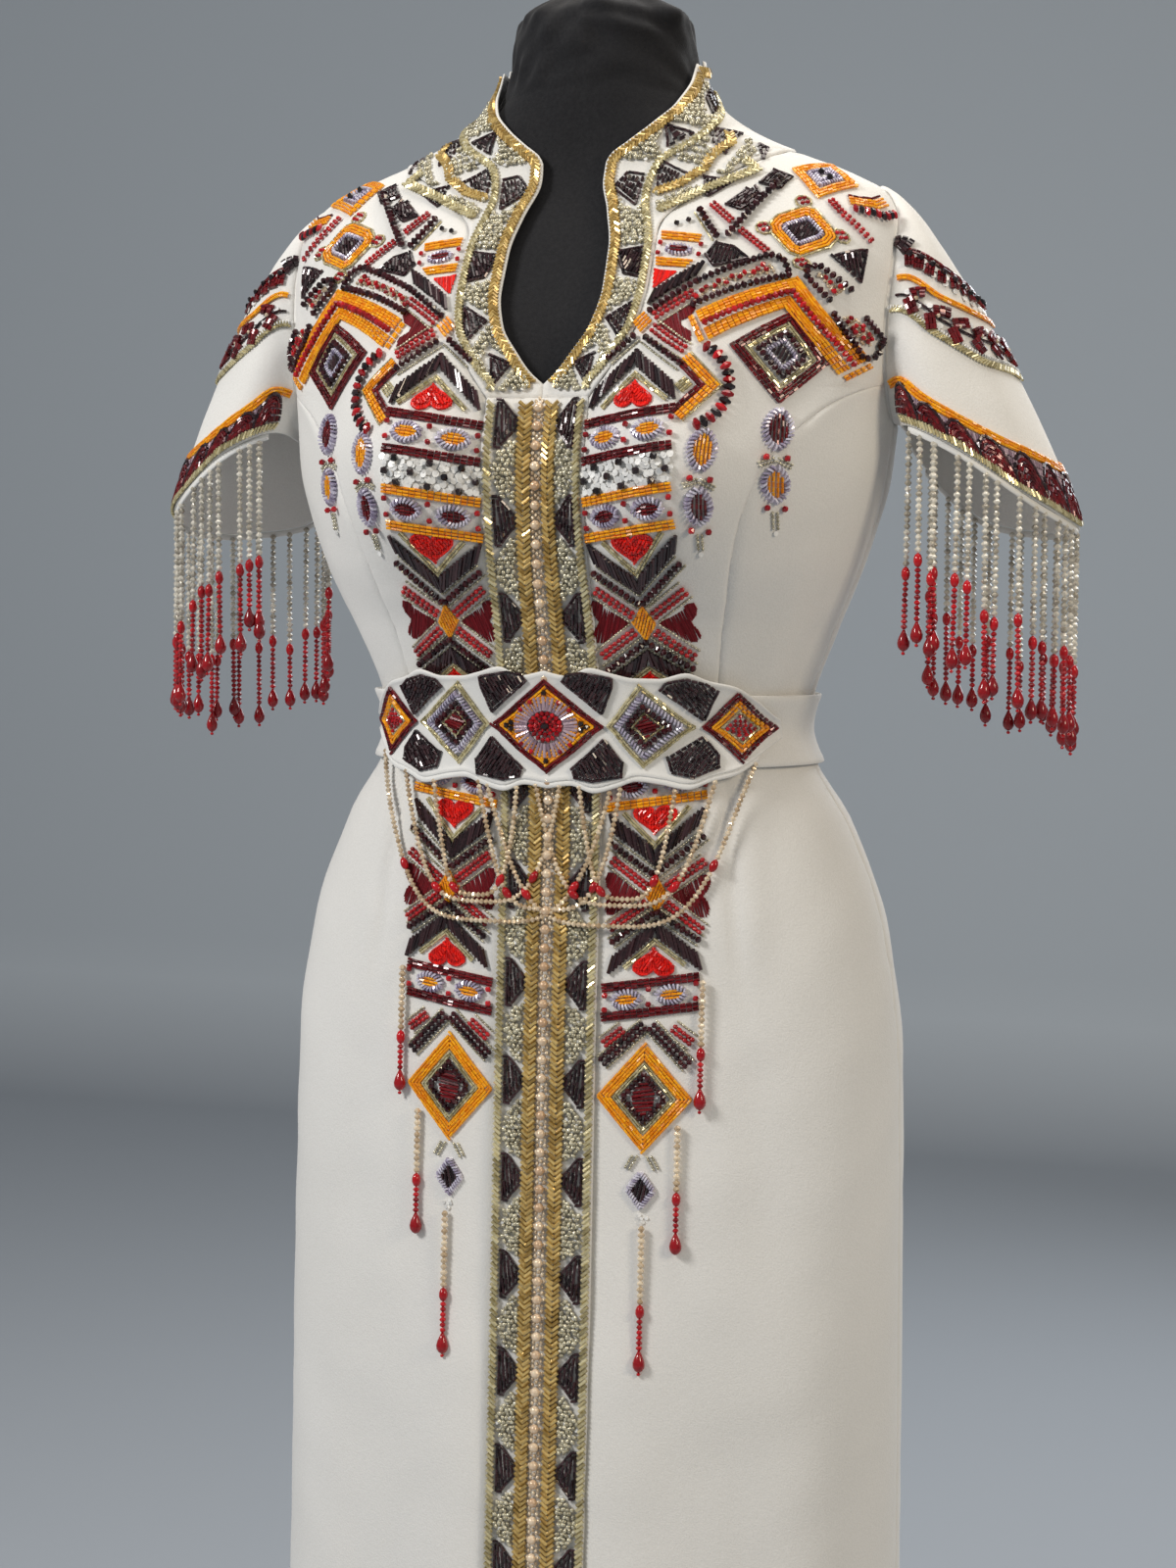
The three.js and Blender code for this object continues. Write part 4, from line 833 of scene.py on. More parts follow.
def row(region, kind, path, width, length, lean=0, pitch=None, lift=0.0, closed=False, shift=0):
    if shift:
        path = shiftPath(path, shift, closed)
    if pitch is None:
        pitch = 1.04 * (length if abs(lean) < 30 else width / max(0.3, abs(math.sin(math.radians(lean)))))
    places, way = walk(path, pitch, closed)
    if abs(lean) < 1:
        length = min(length, pitch)
    put(region, kind, places[:, 0], places[:, 1], way + math.radians(lean), width, length, lift)


def rows(region, kind, path, shifts, width, length, **more):
    for shift in shifts:
        row(region, kind, path, width, length, shift=shift, **more)


def signedArea(outline):
    o = np.asarray(outline, float)
    return 0.5 * (o[:, 0] * np.roll(o[:, 1], -1) - np.roll(o[:, 0], -1) * o[:, 1]).sum()


def inset(outline, distance):
    o = np.asarray(outline, float)
    return shiftPath(o if signedArea(o) > 0 else o[::-1], distance, True)


def within(outline, x, v):
    o = np.asarray(outline, float)
    inside = np.zeros(np.shape(x), bool)
    for (x1, y1), (x2, y2) in zip(o, np.roll(o, -1, 0)):
        crosses = (y1 > v) != (y2 > v)
        inside ^= crosses & (x < (x2 - x1) * (v - y1) / np.where(crosses, y2 - y1, 1) + x1)
    return inside


def rings(region, kind, outline, insets, width, length, **more):
    for distance in insets:
        row(region, kind, inset(outline, distance), width, length, closed=True, **more)


# Rows of beads across an outline
def fill(region, kind, outline, angle, width, length=None, lift=0.0, spacing=None):
    turn = math.radians(angle)
    c, s = math.cos(turn), math.sin(turn)
    o = np.asarray(outline, float) @ np.array([[c, -s], [s, c]])
    spacing = spacing or width * 1.04
    count = max(1, int((o[:, 1].max() - o[:, 1].min()) / spacing))
    for y in o[:, 1].min() + (np.arange(count) + 0.5) * (o[:, 1].max() - o[:, 1].min()) / count:
        hits = []
        for (x1, y1), (x2, y2) in zip(o, np.roll(o, -1, 0)):
            if (y1 > y) != (y2 > y):
                hits.append(x1 + (x2 - x1) * (y - y1) / (y2 - y1))
        hits.sort()
        for a, b in zip(hits[::2], hits[1::2]):
            if b - a < width * 0.8:
                continue
            number = 1 if length is None else max(1, int(round((b - a) / length)))
            size = (b - a) / number
            x = a + (np.arange(number) + 0.5) * size
            put(region, kind, x * c - y * s, x * s + y * c, turn, width, size * 0.96, lift)


def scatter(region, kind, outline, spacing, size, avoid=(), lift=0.0):  # loose even strewing
    o = np.asarray(outline, float)
    xs = np.arange(o[:, 0].min(), o[:, 0].max() + spacing, spacing)
    vs = np.arange(o[:, 1].min(), o[:, 1].max() + spacing, spacing * 0.87)
    x, v = np.meshgrid(xs, vs)
    x = x + (np.arange(len(vs)) % 2)[:, None] * spacing / 2 + draw.normal(0, spacing * 0.13, x.shape)
    v = v + draw.normal(0, spacing * 0.13, v.shape)
    keep = within(o, x, v)
    for other in avoid:
        keep &= ~within(other, x, v)
    x, v = x[keep], v[keep]
    put(region, kind, x, v, draw.uniform(0, math.pi, x.shape), size * draw.uniform(0.85, 1.1, x.shape),
        size, lift)


def dots(region, kind, places, size, lift=0.4):
    places = np.asarray(places, float)
    put(region, kind, places[:, 0], places[:, 1], 0.7, size, size * 0.92, lift)


def diamondOutline(x, v, halfWide, halfTall, slope=0):
    return np.array([(x + halfWide, v + slope * halfWide), (x, v + halfTall),
                     (x - halfWide, v - slope * halfWide), (x, v - halfTall)])


def eye(region, x, v, length, height, angle, centre, petal=4.7):  # sequins on edge round an almond of beads
    t = np.linspace(0, 2 * math.pi, 25)[:-1]
    a = math.radians(angle)
    turned = np.array([[math.cos(a), math.sin(a)], [-math.sin(a), math.cos(a)]])

    def almond(grow):
        wide, tall = length / 2 + grow, height / 2 + grow
        plain = np.stack([wide * np.cos(t), tall * np.sin(t) * np.abs(np.sin(t))**0.35], -1)
        return plain @ turned + (x, v)
    row(region, "lilac", almond(-petal * 0.5), petal, 1.2, lean=24, closed=True, pitch=2.3,
        lift=0.3 - petal / 4)
    fill(region, centre, almond(-petal * 0.78), angle, 1.8, 3.4, lift=0.9)


def heart(x, v, wide, tall, lean=0):  # a rounded heart with its point up, turned by lean
    t = np.linspace(0, 2 * math.pi, 29)[:-1]
    rise = 0.81 * np.cos(t) - 0.31 * np.cos(2 * t) - 0.125 * np.cos(3 * t) - 0.06 * np.cos(4 * t)
    points = np.stack([wide / 2 * np.sin(t)**3, -tall / 2 * rise], -1)
    a = math.radians(lean)
    return points @ np.array([[math.cos(a), math.sin(a)], [-math.sin(a), math.cos(a)]]) + (x, v)


def bugleTriangle(region, outline, angle, lift=0.2):
    rings(region, "brown", outline, [0.6], 2.0, 3.4, lift=lift)
    fill(region, "brown", inset(outline, 1.9), angle, 2.0, 3.6, lift=lift + 0.6)


# Two rows of beads between fine lines
def beadBar(region, kind, start, end, edges="silver", wide=3.2, width=3.5):
    path = [start, end]
    rows(region, kind, path, (-wide / 2, wide / 2), width, width * 0.92, lift=0.3)
    if edges:
        rows(region, edges, path, (-wide - 1.9, wide + 1.9), 1.9, 2.0)


# From the charts to places on the cloth
aroundScale = 1.15  # mm of the sleeve's chart for one degree round it
meridianTurns = np.linspace(-180, 180, 73)
meridian = sleevePoint(meridianTurns[None, :], np.linspace(0, 1, 41)[:, None] + 0 * meridianTurns[None, :])
sleeveLength = makeCurve(meridianTurns, np.linalg.norm(np.diff(meridian, axis=0), axis=-1).sum(0))


def frontPlace(x, v, lift):
    points, normals = drape(x, v)
    onBand = (np.abs(x) < cut["bandHalf"]) & (v < bandTop)
    base = np.where(onBand, bandRise(np.abs(x) / cut["bandHalf"]), np.clip(foldLift(points), *liftRange))
    return points + normals * (base + lift)[..., None], normals


def collarPlace(gone, z, lift):  # by true distance from the keyhole's edge and by height
    z = np.asarray(z, float)
    turn = stepTurn(turnAtX(keyholeX(z), z), z, np.asarray(gone, float) + halfGap)
    points, normals = wornPoint(turn, z), wornNormal(turn, z)
    return points + normals * (np.clip(foldLift(points), *liftRange) + 0.3 + lift)[..., None], normals


def beltPlace(x, z, lift):
    return overFront(x, z, plaque["outside"] - 0.4 + lift), wornNormal(turnAtX(x, z), z)


def sleevePlace(x, v, lift):
    at = x / aroundScale
    return sleeveOn(at, np.clip(v / sleeveLength(at), 0, 1), lift)


beadPlaces = dict(front=(frontPlace, True), centre=(frontPlace, False), collar=(collarPlace, True),
                  belt=(beltPlace, True), beltMiddle=(beltPlace, False), sleeve=(sleevePlace, True))
flatKinds = ("clear",)  # sequins that lie face up
sewnRise = 0.45  # how far a bead's middle stands off the cloth, as a share of its width
sunk = {"garnet": 0.42, "wineThread": 0.3, "scarletThread": 0.3}
laidBeads = {}  # (piece, kind): centre, along, out, size and tint of each bead


def lay(group, kind, centres, along, out, width, length, side=1):
    turn = draw.uniform(0, 2 * math.pi, len(centres))[:, None]
    across = np.cross(along, out)
    rolled = out * np.cos(turn) + across * np.sin(turn)
    size = np.stack([width, width, length], -1)
    tint = draw.uniform(0, 1, len(centres))
    flip = np.array([side, 1, 1])
    laidBeads.setdefault((group, kind), []).append((centres * flip, along * flip, rolled * flip, size,
                                                    tint))


# Even by true length
def rowOver(region, kind, path, width, length, lean=0, pitch=2.05, lift=0.5, shift=0.0):
    place, mirrored = beadPlaces[region]
    path = np.asarray(path, float)
    at = np.linspace(0, len(path) - 1, max(60, 4 * len(path)))
    x, v = [np.interp(at, np.arange(len(path)), path[:, k]) for k in (0, 1)]
    for flip in (1, -1) if region == "sleeve" else (1,):  # the sleeve's back half repeats its front half
        points, normals = place(x * flip, v, lift + width * sewnRise + 0 * x)
        tangents = unit(np.gradient(points, axis=0))
        points = points + unit(np.cross(tangents, normals)) * shift * flip
        gone = np.concatenate([[0], np.cumsum(np.linalg.norm(np.diff(points, axis=0), axis=1))])
        count = max(2, int(gone[-1] / pitch))
        even = (np.arange(count) + 0.5) * gone[-1] / count
        points, normals, tangents = [np.stack([np.interp(even, gone, grid[:, k]) for k in range(3)], -1)
                                     for grid in (points, normals, tangents)]
        normals, turn = unit(normals), math.radians(lean * flip)
        along = unit(tangents * math.cos(turn) + np.cross(tangents, normals) * math.sin(turn))
        for side in (1, -1) if mirrored else (1,):
            lay(region, kind, points, along, normals, np.full(count, width), np.full(count, length), side)


# Charts: x and height over the front in mm, right side; the left side mirrors them
stripSlope = 0.15
upperStrip = dict(inner=33, outer=92)
lowerStrip = dict(inner=36, outer=97)


def sloped(strip, x, b):
    return (x, b + stripSlope * (x - strip["inner"]))


def crossBar(strip, kind, b, shifts=(-2, 0, 2), width=1.9, length=3.6):
    path = [sloped(strip, strip["inner"], b), sloped(strip, strip["outer"], b)]
    rows("front", kind, path, shifts, width, length, lift=0.35)


def eyePair(strip, b, centre, first=16, second=44, size=(22, 15)):
    for offset in (first, second):
        x, v = sloped(strip, strip["inner"] + offset, b)
        eye("front", x, v, size[0], size[1], 8, centre)
    middle = strip["inner"] + (first + second) / 2
    places = [(strip["inner"] + 2.5, b + 4), (middle, b + 5), (strip["outer"] - 2, b + 5),
              (strip["inner"] + 2.5, b - 5), (middle, b - 4.5), (strip["outer"] - 2, b - 4.5)]
    dots("front", "rubyCrystal", [sloped(strip, x, y) for x, y in places], 4.0)


def bugleChevron(apex, left, right, wide=12.5, steep=74):  # tall bugles side by side along two arms
    for a, b, lean in ((left, apex, steep), (apex, right, 180 - steep)):
        places, way = walk([a, b], 2.95)
        put("front", "brown", places[:, 0], places[:, 1], math.radians(lean), 2.8, wide, 0.6)


def chainChevron(apex, left, right, edge=3.6):  # round dark beads between fine champagne lines
    path = [left, apex, right]
    row("front", "darkBead", path, 4.9, 3.7, lift=0.5)
    rows("front", "silver", path, (-edge, edge), 1.9, 2.0)


def goldChevron(apex, left, right):
    rows("front", "paleGold", [left, apex, right], (-0.9, 0.9), 1.7, 3.0, lift=0.3)


def butterfly(x, v, reach, tall):  # an orange knot, four ruby bars and two wine-red felt hearts
    knot = diamondOutline(x, v, 6.8, 10.5)
    fill("front", "orange", knot, 70, 1.7, 3.2, lift=0.9)
    rings("front", "orange", knot, [0.2], 1.7, 3.0, lift=0.5)
    for sx in (-1, 1):
        for sv in (-1, 1):
            beadBar("front", "ruby", (x + sx * 5.6, v + sv * 4.6), (x + sx * reach, v + sv * tall))
        leafy = [(x + sx * reachX, v + rise) for reachX, rise in (
            (8.5, 0), (16, 5), (22, 10), (27, 13.5), (31, 13.5), (32.5, 9), (31.5, 4), (28.5, 0),
            (31.5, -4), (32.5, -9), (31, -13.5), (27, -13.5), (22, -10), (16, -5))]
        fill("front", "wineThread", leafy, 90 + sx * 18, 0.95, None, lift=0.05, spacing=0.72)
    return knot


def redHeart(x, v, wide, tall, lean=0):
    shape = heart(x, v, wide, tall, lean)
    fill("front", "scarletThread", shape, 92, 1.7, 3.0, lift=0.2, spacing=1.5)
    rings("front", "scarletThread", shape, [0.6], 1.7, 2.6, lift=0.4)
    fill("front", "scarletThread", inset(shape, 3.2), 55, 1.8, 3.0, lift=0.9, spacing=1.8)


# Upper strip, from the top
fill("front", "orange", [(66, 1366.5), (65, 1373), (91, 1371), (90, 1364.5)], -5, 1.8, 3.4, lift=0.3)
eye("front", 78, 1359, 19, 10, -6, "garnet", petal=3.2)
dots("front", "rubyCrystal", [(66, 1363.5), (65.5, 1356), (91.5, 1362.5), (91, 1355)], 3.4)
fill("front", "orange", [(65.5, 1347), (64.5, 1353.5), (89, 1351.5), (84, 1345.5)], -5, 1.8, 3.4, lift=0.3)
fill("front", "scarletThread", [(64.5, 1345.5), (80, 1343), (66, 1330)], 80, 1.1, None, lift=0.1,
     spacing=0.85)
dots("front", "jet", [(74, 1378), (81, 1380.5)], 3.6)
places, way = walk([(66, 1323.5), (94, 1345.5)], 2.95)
put("front", "brown", places[:, 0], places[:, 1], math.radians(72), 2.8, 11.5, 0.6)
row("front", "darkBead", [(66, 1314), (94, 1335.5)], 4.7, 3.7, lift=0.4)
beadBar("front", "ruby", (70, 1311.5), (93, 1327.5))
beadBar("front", "ruby", (70, 1306), (93, 1291.5))
fill("front", "wineThread", [(72, 1308.8), (83, 1316), (93, 1321), (95, 1317), (93, 1312), (87, 1308.5),
                             (94, 1304), (95.5, 1298), (92, 1295.5), (83, 1301)], 112, 0.95, None,
                             lift=0.05, spacing=0.72)
fill("front", "orange", diamondOutline(63.5, 1309, 6.5, 6.5), 45, 1.9, 3.2, lift=0.8)
for chainPath in ([(44, 1287), (61, 1302)], [(66, 1301), (92, 1282.5)]):
    row("front", "darkBead", chainPath, 4.8, 3.7, lift=0.5)
    rows("front", "silver", chainPath, (-3.6,), 1.8, 2.0)
bugleChevron((63, 1288), (37, 1262), (90, 1266), 13)
goldChevron((64, 1277.5), (44, 1257), (86, 1261.5))
redHeart(64.5, 1264, 25, 19)
crossBar(upperStrip, "garnet", 1247.5)
eyePair(upperStrip, 1236.5, "orange")
crossBar(upperStrip, "garnet", 1225)
silverField = [sloped(upperStrip, x, b) for x, b in ((33, 1222), (92, 1222), (92, 1203.5), (33, 1203.5))]
blackPlaces = [sloped(upperStrip, x, b) for x, b in (
    (43.5, 1219.5), (61, 1219.5), (82, 1219.5), (36, 1212.5), (53, 1212.5), (72, 1212.5), (88.5, 1211.5),
    (45, 1205.5), (62.5, 1205.5), (81, 1205.5))]
roundBlack = [[(x + 3.2 * math.cos(t), v + 3.2 * math.sin(t)) for t in np.linspace(0, 5.5, 8)]
              for x, v in blackPlaces]
scatter("front", "clear", silverField, 4.0, 4.3, avoid=roundBlack, lift=0.2)
scatter("front", "clear", silverField, 5.6, 2.6, avoid=roundBlack, lift=0.6)
dots("front", "jet", blackPlaces, 5.0, 0.6)
crossBar(upperStrip, "orange", 1200.5)
eyePair(upperStrip, 1190, "garnet")
crossBar(upperStrip, "orange", 1179)
redHeart(64.5, 1174.5, 27, 21, 180)
goldChevron((64.5, 1158), (45, 1177), (84, 1183))
bugleChevron((64, 1151.5), (36, 1171), (91, 1177), 13, 106)
chainChevron((64, 1140), (36, 1160), (92, 1166))
butterfly(64, 1128, 28, 21)
chainChevron((64, 1117), (38, 1098), (91, 1100))
bugleChevron((64, 1107.5), (38, 1089), (91, 1091), 11.5)
goldChevron((64, 1100), (47, 1087), (81, 1088))
redHeart(64, 1090, 22, 16)

# Skirt strip
eyePair(lowerStrip, 1023, "garnet")
crossBar(lowerStrip, "orange", 1012)
redHeart(66.5, 1006.5, 27, 21, 180)
goldChevron((67, 989), (47, 1009), (87, 1014))
bugleChevron((67, 982), (39, 1003), (94, 1008), 13, 106)
chainChevron((67, 970.5), (38, 991), (97, 996))
butterfly(69, 958, 29, 22)
chainChevron((69, 948), (41, 927), (97, 930))
bugleChevron((69, 937.5), (41, 913), (97, 917), 12)
goldChevron((69, 929.5), (50, 912), (88, 915))
redHeart(68.5, 915, 26, 20)
crossBar(lowerStrip, "garnet", 899)
eyePair(lowerStrip, 890, "orange", size=(22, 14))
crossBar(lowerStrip, "garnet", 880.5)
for side, reach in ((-1, 29), (1, 26)):
    splay = [(66 + side * 1.5, 877), (66 + side * reach, 852)]
    rows("front", "darkBead", splay, (-1.9, 1.9), 3.8, 3.3, lift=0.5)
    rows("front", "silver", splay, (-4.7, 4.7), 1.9, 2.0)
beadBar("front", "ruby", (51, 874), (38, 863.5))
beadBar("front", "ruby", (81, 876), (94, 866.5))
bigLozenge = diamondOutline(64.5, 831, 30.5, 35)
rings("front", "orange", bigLozenge, [0.9, 2.8, 4.7, 6.4], 1.9, 3.2, lift=0.4)
rings("front", "paleGold", bigLozenge, [8.3, 10.0], 1.6, 2.6, lift=0.2)
rings("front", "darkBead", bigLozenge, [13.0], 4.6, 3.6, lift=0.5)
fill("front", "clear", inset(bigLozenge, 15.5), 8, 3.0, 3.0, lift=0.1)
fill("front", "garnet", [(72, 835), (68, 842), (61, 841), (56.5, 833), (58, 824), (64, 820), (70.5, 824)],
     8, 2.1, None, lift=0.9)
for side in (-1, 1):
    leaf = [(64 + side, 795), (64 + side * 6, 795), (64 + side * 12, 787), (64 + side * 8, 785.5)]
    fill("front", "silver", leaf, 90 + side * 30, 2.0, 2.0, lift=0.2)
smallLozenge = diamondOutline(63.5, 773, 10.5, 14.5)
row("front", "lilac", inset(smallLozenge, 2), 4.2, 1.1, lean=24, closed=True, pitch=1.9, lift=-0.7)
fill("front", "brown", diamondOutline(63.5, 773, 6, 8.6), 78, 2.0, None, lift=0.4)
scatter("front", "clear", diamondOutline(64.5, 755, 4.5, 4), 2.4, 2.4, lift=0.2)

# Shoulder chevron, lozenges and pendants
chevronLine = [(100, 1306.5), (148, 1335.5), (183, 1286)]
row("front", "rubyCrystal", chevronLine, 4.6, 3.5, lift=1.3)
rows("front", "orange", chevronLine, (-8.8, -6.9, -5.0, -3.1, 3.1, 5.0, 6.9, 8.8), 2.1, 3.2, lift=0.5)
for end, ahead in ((chevronLine[0], chevronLine[1]), (chevronLine[2], chevronLine[1])):
    way = unit(np.array(ahead, float) - end)
    across = np.array([-way[1], way[0]])
    for step in (-2.6, -4.3):
        row("front", "orange", [end + way * step - across * 8.6, end + way * step + across * 8.6], 1.9, 3.2,
            lift=0.5)
bigDiamond = np.array([(172, 1288), (150, 1321.5), (116.5, 1296), (145.5, 1260.5)])
rings("front", "garnet", bigDiamond, [0.9, 2.9, 4.8], 1.9, 3.2, lift=0.4)
rings("front", "paleGold", bigDiamond, [6.7, 8.2], 1.4, 2.8, lift=0.3)
rings("front", "darkBead", bigDiamond, [11.2], 4.4, 3.5, lift=0.6)
row("front", "lilac", inset(bigDiamond, 14.6), 3.6, 1.1, lean=24, closed=True, pitch=1.8, lift=-0.4)
fill("front", "brown", inset(bigDiamond, 16.2), 68, 2.0, None, lift=0.8)


def pendant(x, v, lean, centres, tail):
    a = math.radians(lean)
    away = np.array([math.sin(a), -math.cos(a)])
    across = np.array([math.cos(a), math.sin(a)])
    first = np.array([x, v]) + away * 15
    eye("front", first[0], first[1], 28, 18, 90 + lean, centres[0], petal=5.2)
    knot = np.array([x, v]) + away * 32
    dots("front", "rubyCrystal", [knot - across * 5.2, knot + across * 5.2], 4.3)
    dots("front", "clear", [knot], 3.6)
    for side in (-1, 1):
        wing = [knot + away * 1, knot + away * 5 + across * side * 8.5]
        rows("front", "silver", wing, (-1.1, 1.1), 2.0, 1.9, lift=0.2)
    second = knot + away * 16
    eye("front", second[0], second[1], 25, 17, 90 + lean, centres[1], petal=5.2)
    low = knot + away * 30
    dots("front", "rubyCrystal", [low - across * 4.4, low + across * 4.4], 4.2)
    rows("front", "silver", [low + away * 2, low + away * tail], (-1.2, 1.2), 2.1, 2.0, lift=0.2)
    dots("front", "clear", [low + away * (tail + 2)], 3.4)


pendant(146, 1260.5, -2, ("garnet", "orange"), 13)
pendant(109, 1246, -4, ("orange", "garnet"), 12)
bracket = [(92, 1287), (108, 1270.5), (92, 1251.5)]
rows("front", "orange", bracket, (0, 1.9, 3.8), 1.9, 3.2, lift=0.4)
rows("front", "paleGold", bracket, (5.6,), 1.3, 2.6, lift=0.3)
rows("front", "garnet", bracket, (-2, -3.9), 1.9, 3.4, lift=0.4)
fill("front", "paleGold", diamondOutline(94.5, 1270.5, 5.5, 5.5), 45, 1.3, 2.6, lift=0.2)
fan = np.radians(np.linspace(68, -70, 15))
for kind, pick in (("rubyCrystal", slice(0, None, 2)), ("jet", slice(1, None, 2))):
    put("front", kind, 96 + 22.5 * np.cos(fan[pick]), 1269.5 + 25.5 * np.sin(fan[pick]), fan[pick], 4.8,
        7.6, 0.9)


def openChain(path, content):  # a dark bead line round a strewn bed of pale and ruby beads
    row("front", "darkBead", path, 4.9, 3.8, lift=0.6)
    scatter("front", "rose", content, 2.5, 2.0, lift=0.2)
    scatter("front", "rubyCrystal", content, 4.8, 3.4, lift=0.8)


openChain([(92.5, 1334.5), (133, 1360.5), (141, 1359.5), (146, 1348), (121, 1335), (91.5, 1317.5)],
          [(95, 1330), (133, 1355), (140, 1350), (120, 1340), (94, 1323.5)])
openChain([(170, 1333.5), (155.5, 1349), (155, 1357), (162, 1360.5), (181.5, 1349)],
          [(159, 1355), (164, 1356), (178, 1348), (173, 1340)])
openChain([(171, 1326), (187, 1291), (194, 1294), (196.5, 1311), (188, 1331)],
          [(177, 1325), (188, 1299), (191.5, 1300), (192, 1313), (185, 1326)])
bugleTriangle("front", [(95, 1355), (100, 1366), (112, 1364), (122, 1356), (101, 1347)], 80)
bugleTriangle("front", [(168, 1372), (188, 1392), (186, 1361)], 100)
flower = np.array([(171, 1387), (167, 1393), (156, 1402.5), (149, 1402), (134, 1391.5), (130, 1384.5),
                   (132.5, 1378), (144, 1366), (151.5, 1364.5), (167, 1378)])
rings("front", "paleGold", flower, [0], 1.5, 2.6, lift=0.3)
rings("front", "orange", flower, [1.9, 3.8, 5.7], 1.9, 3.0, lift=0.5)
rings("front", "lilac", flower, [8.4], 3.6, 1.1, lean=24, pitch=1.8, lift=-0.3)
fill("front", "brown", inset(flower, 10.2), 75, 2.0, 3.5, lift=0.8)
for x, v in ((127.5, 1381), (172.5, 1390), (148, 1406), (152, 1360)):
    small = [(x + 4 * math.cos(t), v + 3.4 * math.sin(t)) for t in np.linspace(0, 2 * math.pi, 9)[:-1]]
    fill("front", "rubyCrystal", small, 30, 2.7, 2.7, lift=0.5)
    rings("front", "paleGold", small, [-1.0], 1.4, 2.0)
row("front", "darkBead", [(106, 1370), (133, 1419)], 5.2, 3.9, lift=0.6)
row("front", "darkBead", [(86, 1389), (101, 1368)], 5.0, 3.8, lift=0.6)
row("front", "paleGold", [(83.5, 1387), (98, 1367)], 1.3, 2.2)
for start, end in (((93, 1394), (108, 1382)), ((113, 1377), (132, 1363)), ((163, 1413), (171, 1406)),
                   ((171, 1406), (190, 1399))):
    beadBar("front", "ruby", start, end, edges=None, wide=2.8, width=3.0)
ridgeLozenge = np.array([(178, 1433), (157, 1449), (136, 1428), (156, 1411)])
rings("front", "orange", ridgeLozenge, [0.9, 2.8, 4.6], 1.9, 3.0, lift=0.4)
rings("front", "lilac", ridgeLozenge, [7.4, 10.4], 3.4, 1.1, lean=24, pitch=1.8, lift=-0.3)
fill("front", "clear", inset(ridgeLozenge, 11.5), 20, 2.8, 2.8, lift=0.3)
dots("front", "jet", [(154, 1431), (160, 1428)], 4.5, 1.4)
crescent = [(174, 1418), (181, 1421), (189, 1427), (193, 1436)]
rows("front", "orange", crescent, (-1.9, 0, 1.9), 1.9, 2.8, lift=0.5)
rows("front", "garnet", crescent, (4,), 1.7, 2.8, lift=0.3)
places, way = walk(shiftPath(crescent, -6.5), 3.6)
for kind, pick in (("rubyCrystal", slice(0, None, 2)), ("jet", slice(1, None, 2))):
    put("front", kind, places[pick, 0], places[pick, 1], way[pick] + half / 2, 3.8, 6, 0.9)
bugleTriangle("front", [(119, 1412), (127, 1424), (139, 1422), (133, 1411)], 60)
bugleTriangle("front", [(101, 1394), (113, 1408), (122, 1404), (112, 1391)], 60)

# Neckband: gold rails, dark triangles and silver beds
neckTriangles = [
    [(27, 1404), (36, 1412), (47, 1411), (45, 1391)], [(82, 1437), (101, 1444), (96, 1425), (87, 1428)],
    [(55, 1418), (77, 1412), (66, 1405), (56, 1403)], [(84, 1412), (105, 1411), (89, 1398)],
    [(111, 1441), (119, 1440), (119, 1427)], [(102, 1395), (118, 1410), (123, 1404), (114, 1393)],
    [(38, 1359), (57, 1362), (59, 1338), (45, 1342)], [(38, 1313), (55, 1323), (51, 1298)],
    [(20, 1287), (34, 1293), (31, 1271)]]
for triangle in neckTriangles:
    bugleTriangle("front", triangle, 68)
# By distance and height
collarTriangles = [[(20, 1475), (37, 1459), (31, 1452), (19, 1464)], [(9, 1443), (36, 1437), (31, 1427)]]
for triangle in collarTriangles:
    bugleTriangle("collar", triangle, 80)


def silverBed(region, bed, avoid=(), rise=0.0):  # strewn champagne seeds with loose sequins over them
    scatter(region, "silver", bed, 3.1, 3.35, avoid=avoid, lift=0.4 + rise)
    scatter(region, "clear", bed, 8, 2.6, avoid=avoid, lift=1.3 + rise)


def goldRail(region, kind, path, wide=4.6, lean=44, width=2.1, lift=0.9, shift=0.0, pitch=2.6):
    rowOver(region, kind, path, width, wide, lean=lean, pitch=pitch, lift=lift, shift=shift)


edgeHeights = np.concatenate([np.linspace(1277, 1412, 46), np.linspace(1413, cut["collarFront"] - 4, 50)])
keyholeEdge = np.stack([0 * edgeHeights, edgeHeights], -1)
goldRail("collar", "oldGold", keyholeEdge, shift=2.9)
goldRail("collar", "oldGold", keyholeEdge, shift=5.7, lean=-44)
collarTopEdge = [(3, 1484), (8, 1484.5), (13, 1485), (19, 1485.5)]
goldRail("collar", "oldGold", collarTopEdge)
goldRail("collar", "oldGold", [(x, z - 3) for x, z in collarTopEdge[1:]], lean=-44)
secondRail = makeCurve([1270, 1290, 1311, 1330, 1354, 1387, 1404, 1417, 1422, 1429, 1444, 1470],
                       [33.5, 31, 28.5, 26.5, 26.5, 26, 31, 35, 40, 44, 41.5, 31])
railHeights = np.linspace(1270, 1470, 90)
for shift in (0, -1.9):
    goldRail("collar", "paleGold", np.stack([secondRail(railHeights), railHeights], -1), wide=3.8,
             shift=shift,
             lean=44 if shift else -44)
yokeRails = {"oldGold": [(88, 1437), (71, 1430), (65, 1411), (51, 1401), (32, 1395)],
             "paleGold": [(116, 1419), (89, 1406), (64, 1396), (48, 1389), (33, 1383)]}
for kind, rail in yokeRails.items():
    for shift, lean in ((0, 44), (2.6, -44)):
        goldRail("collar", kind, rail, shift=shift, lean=lean)
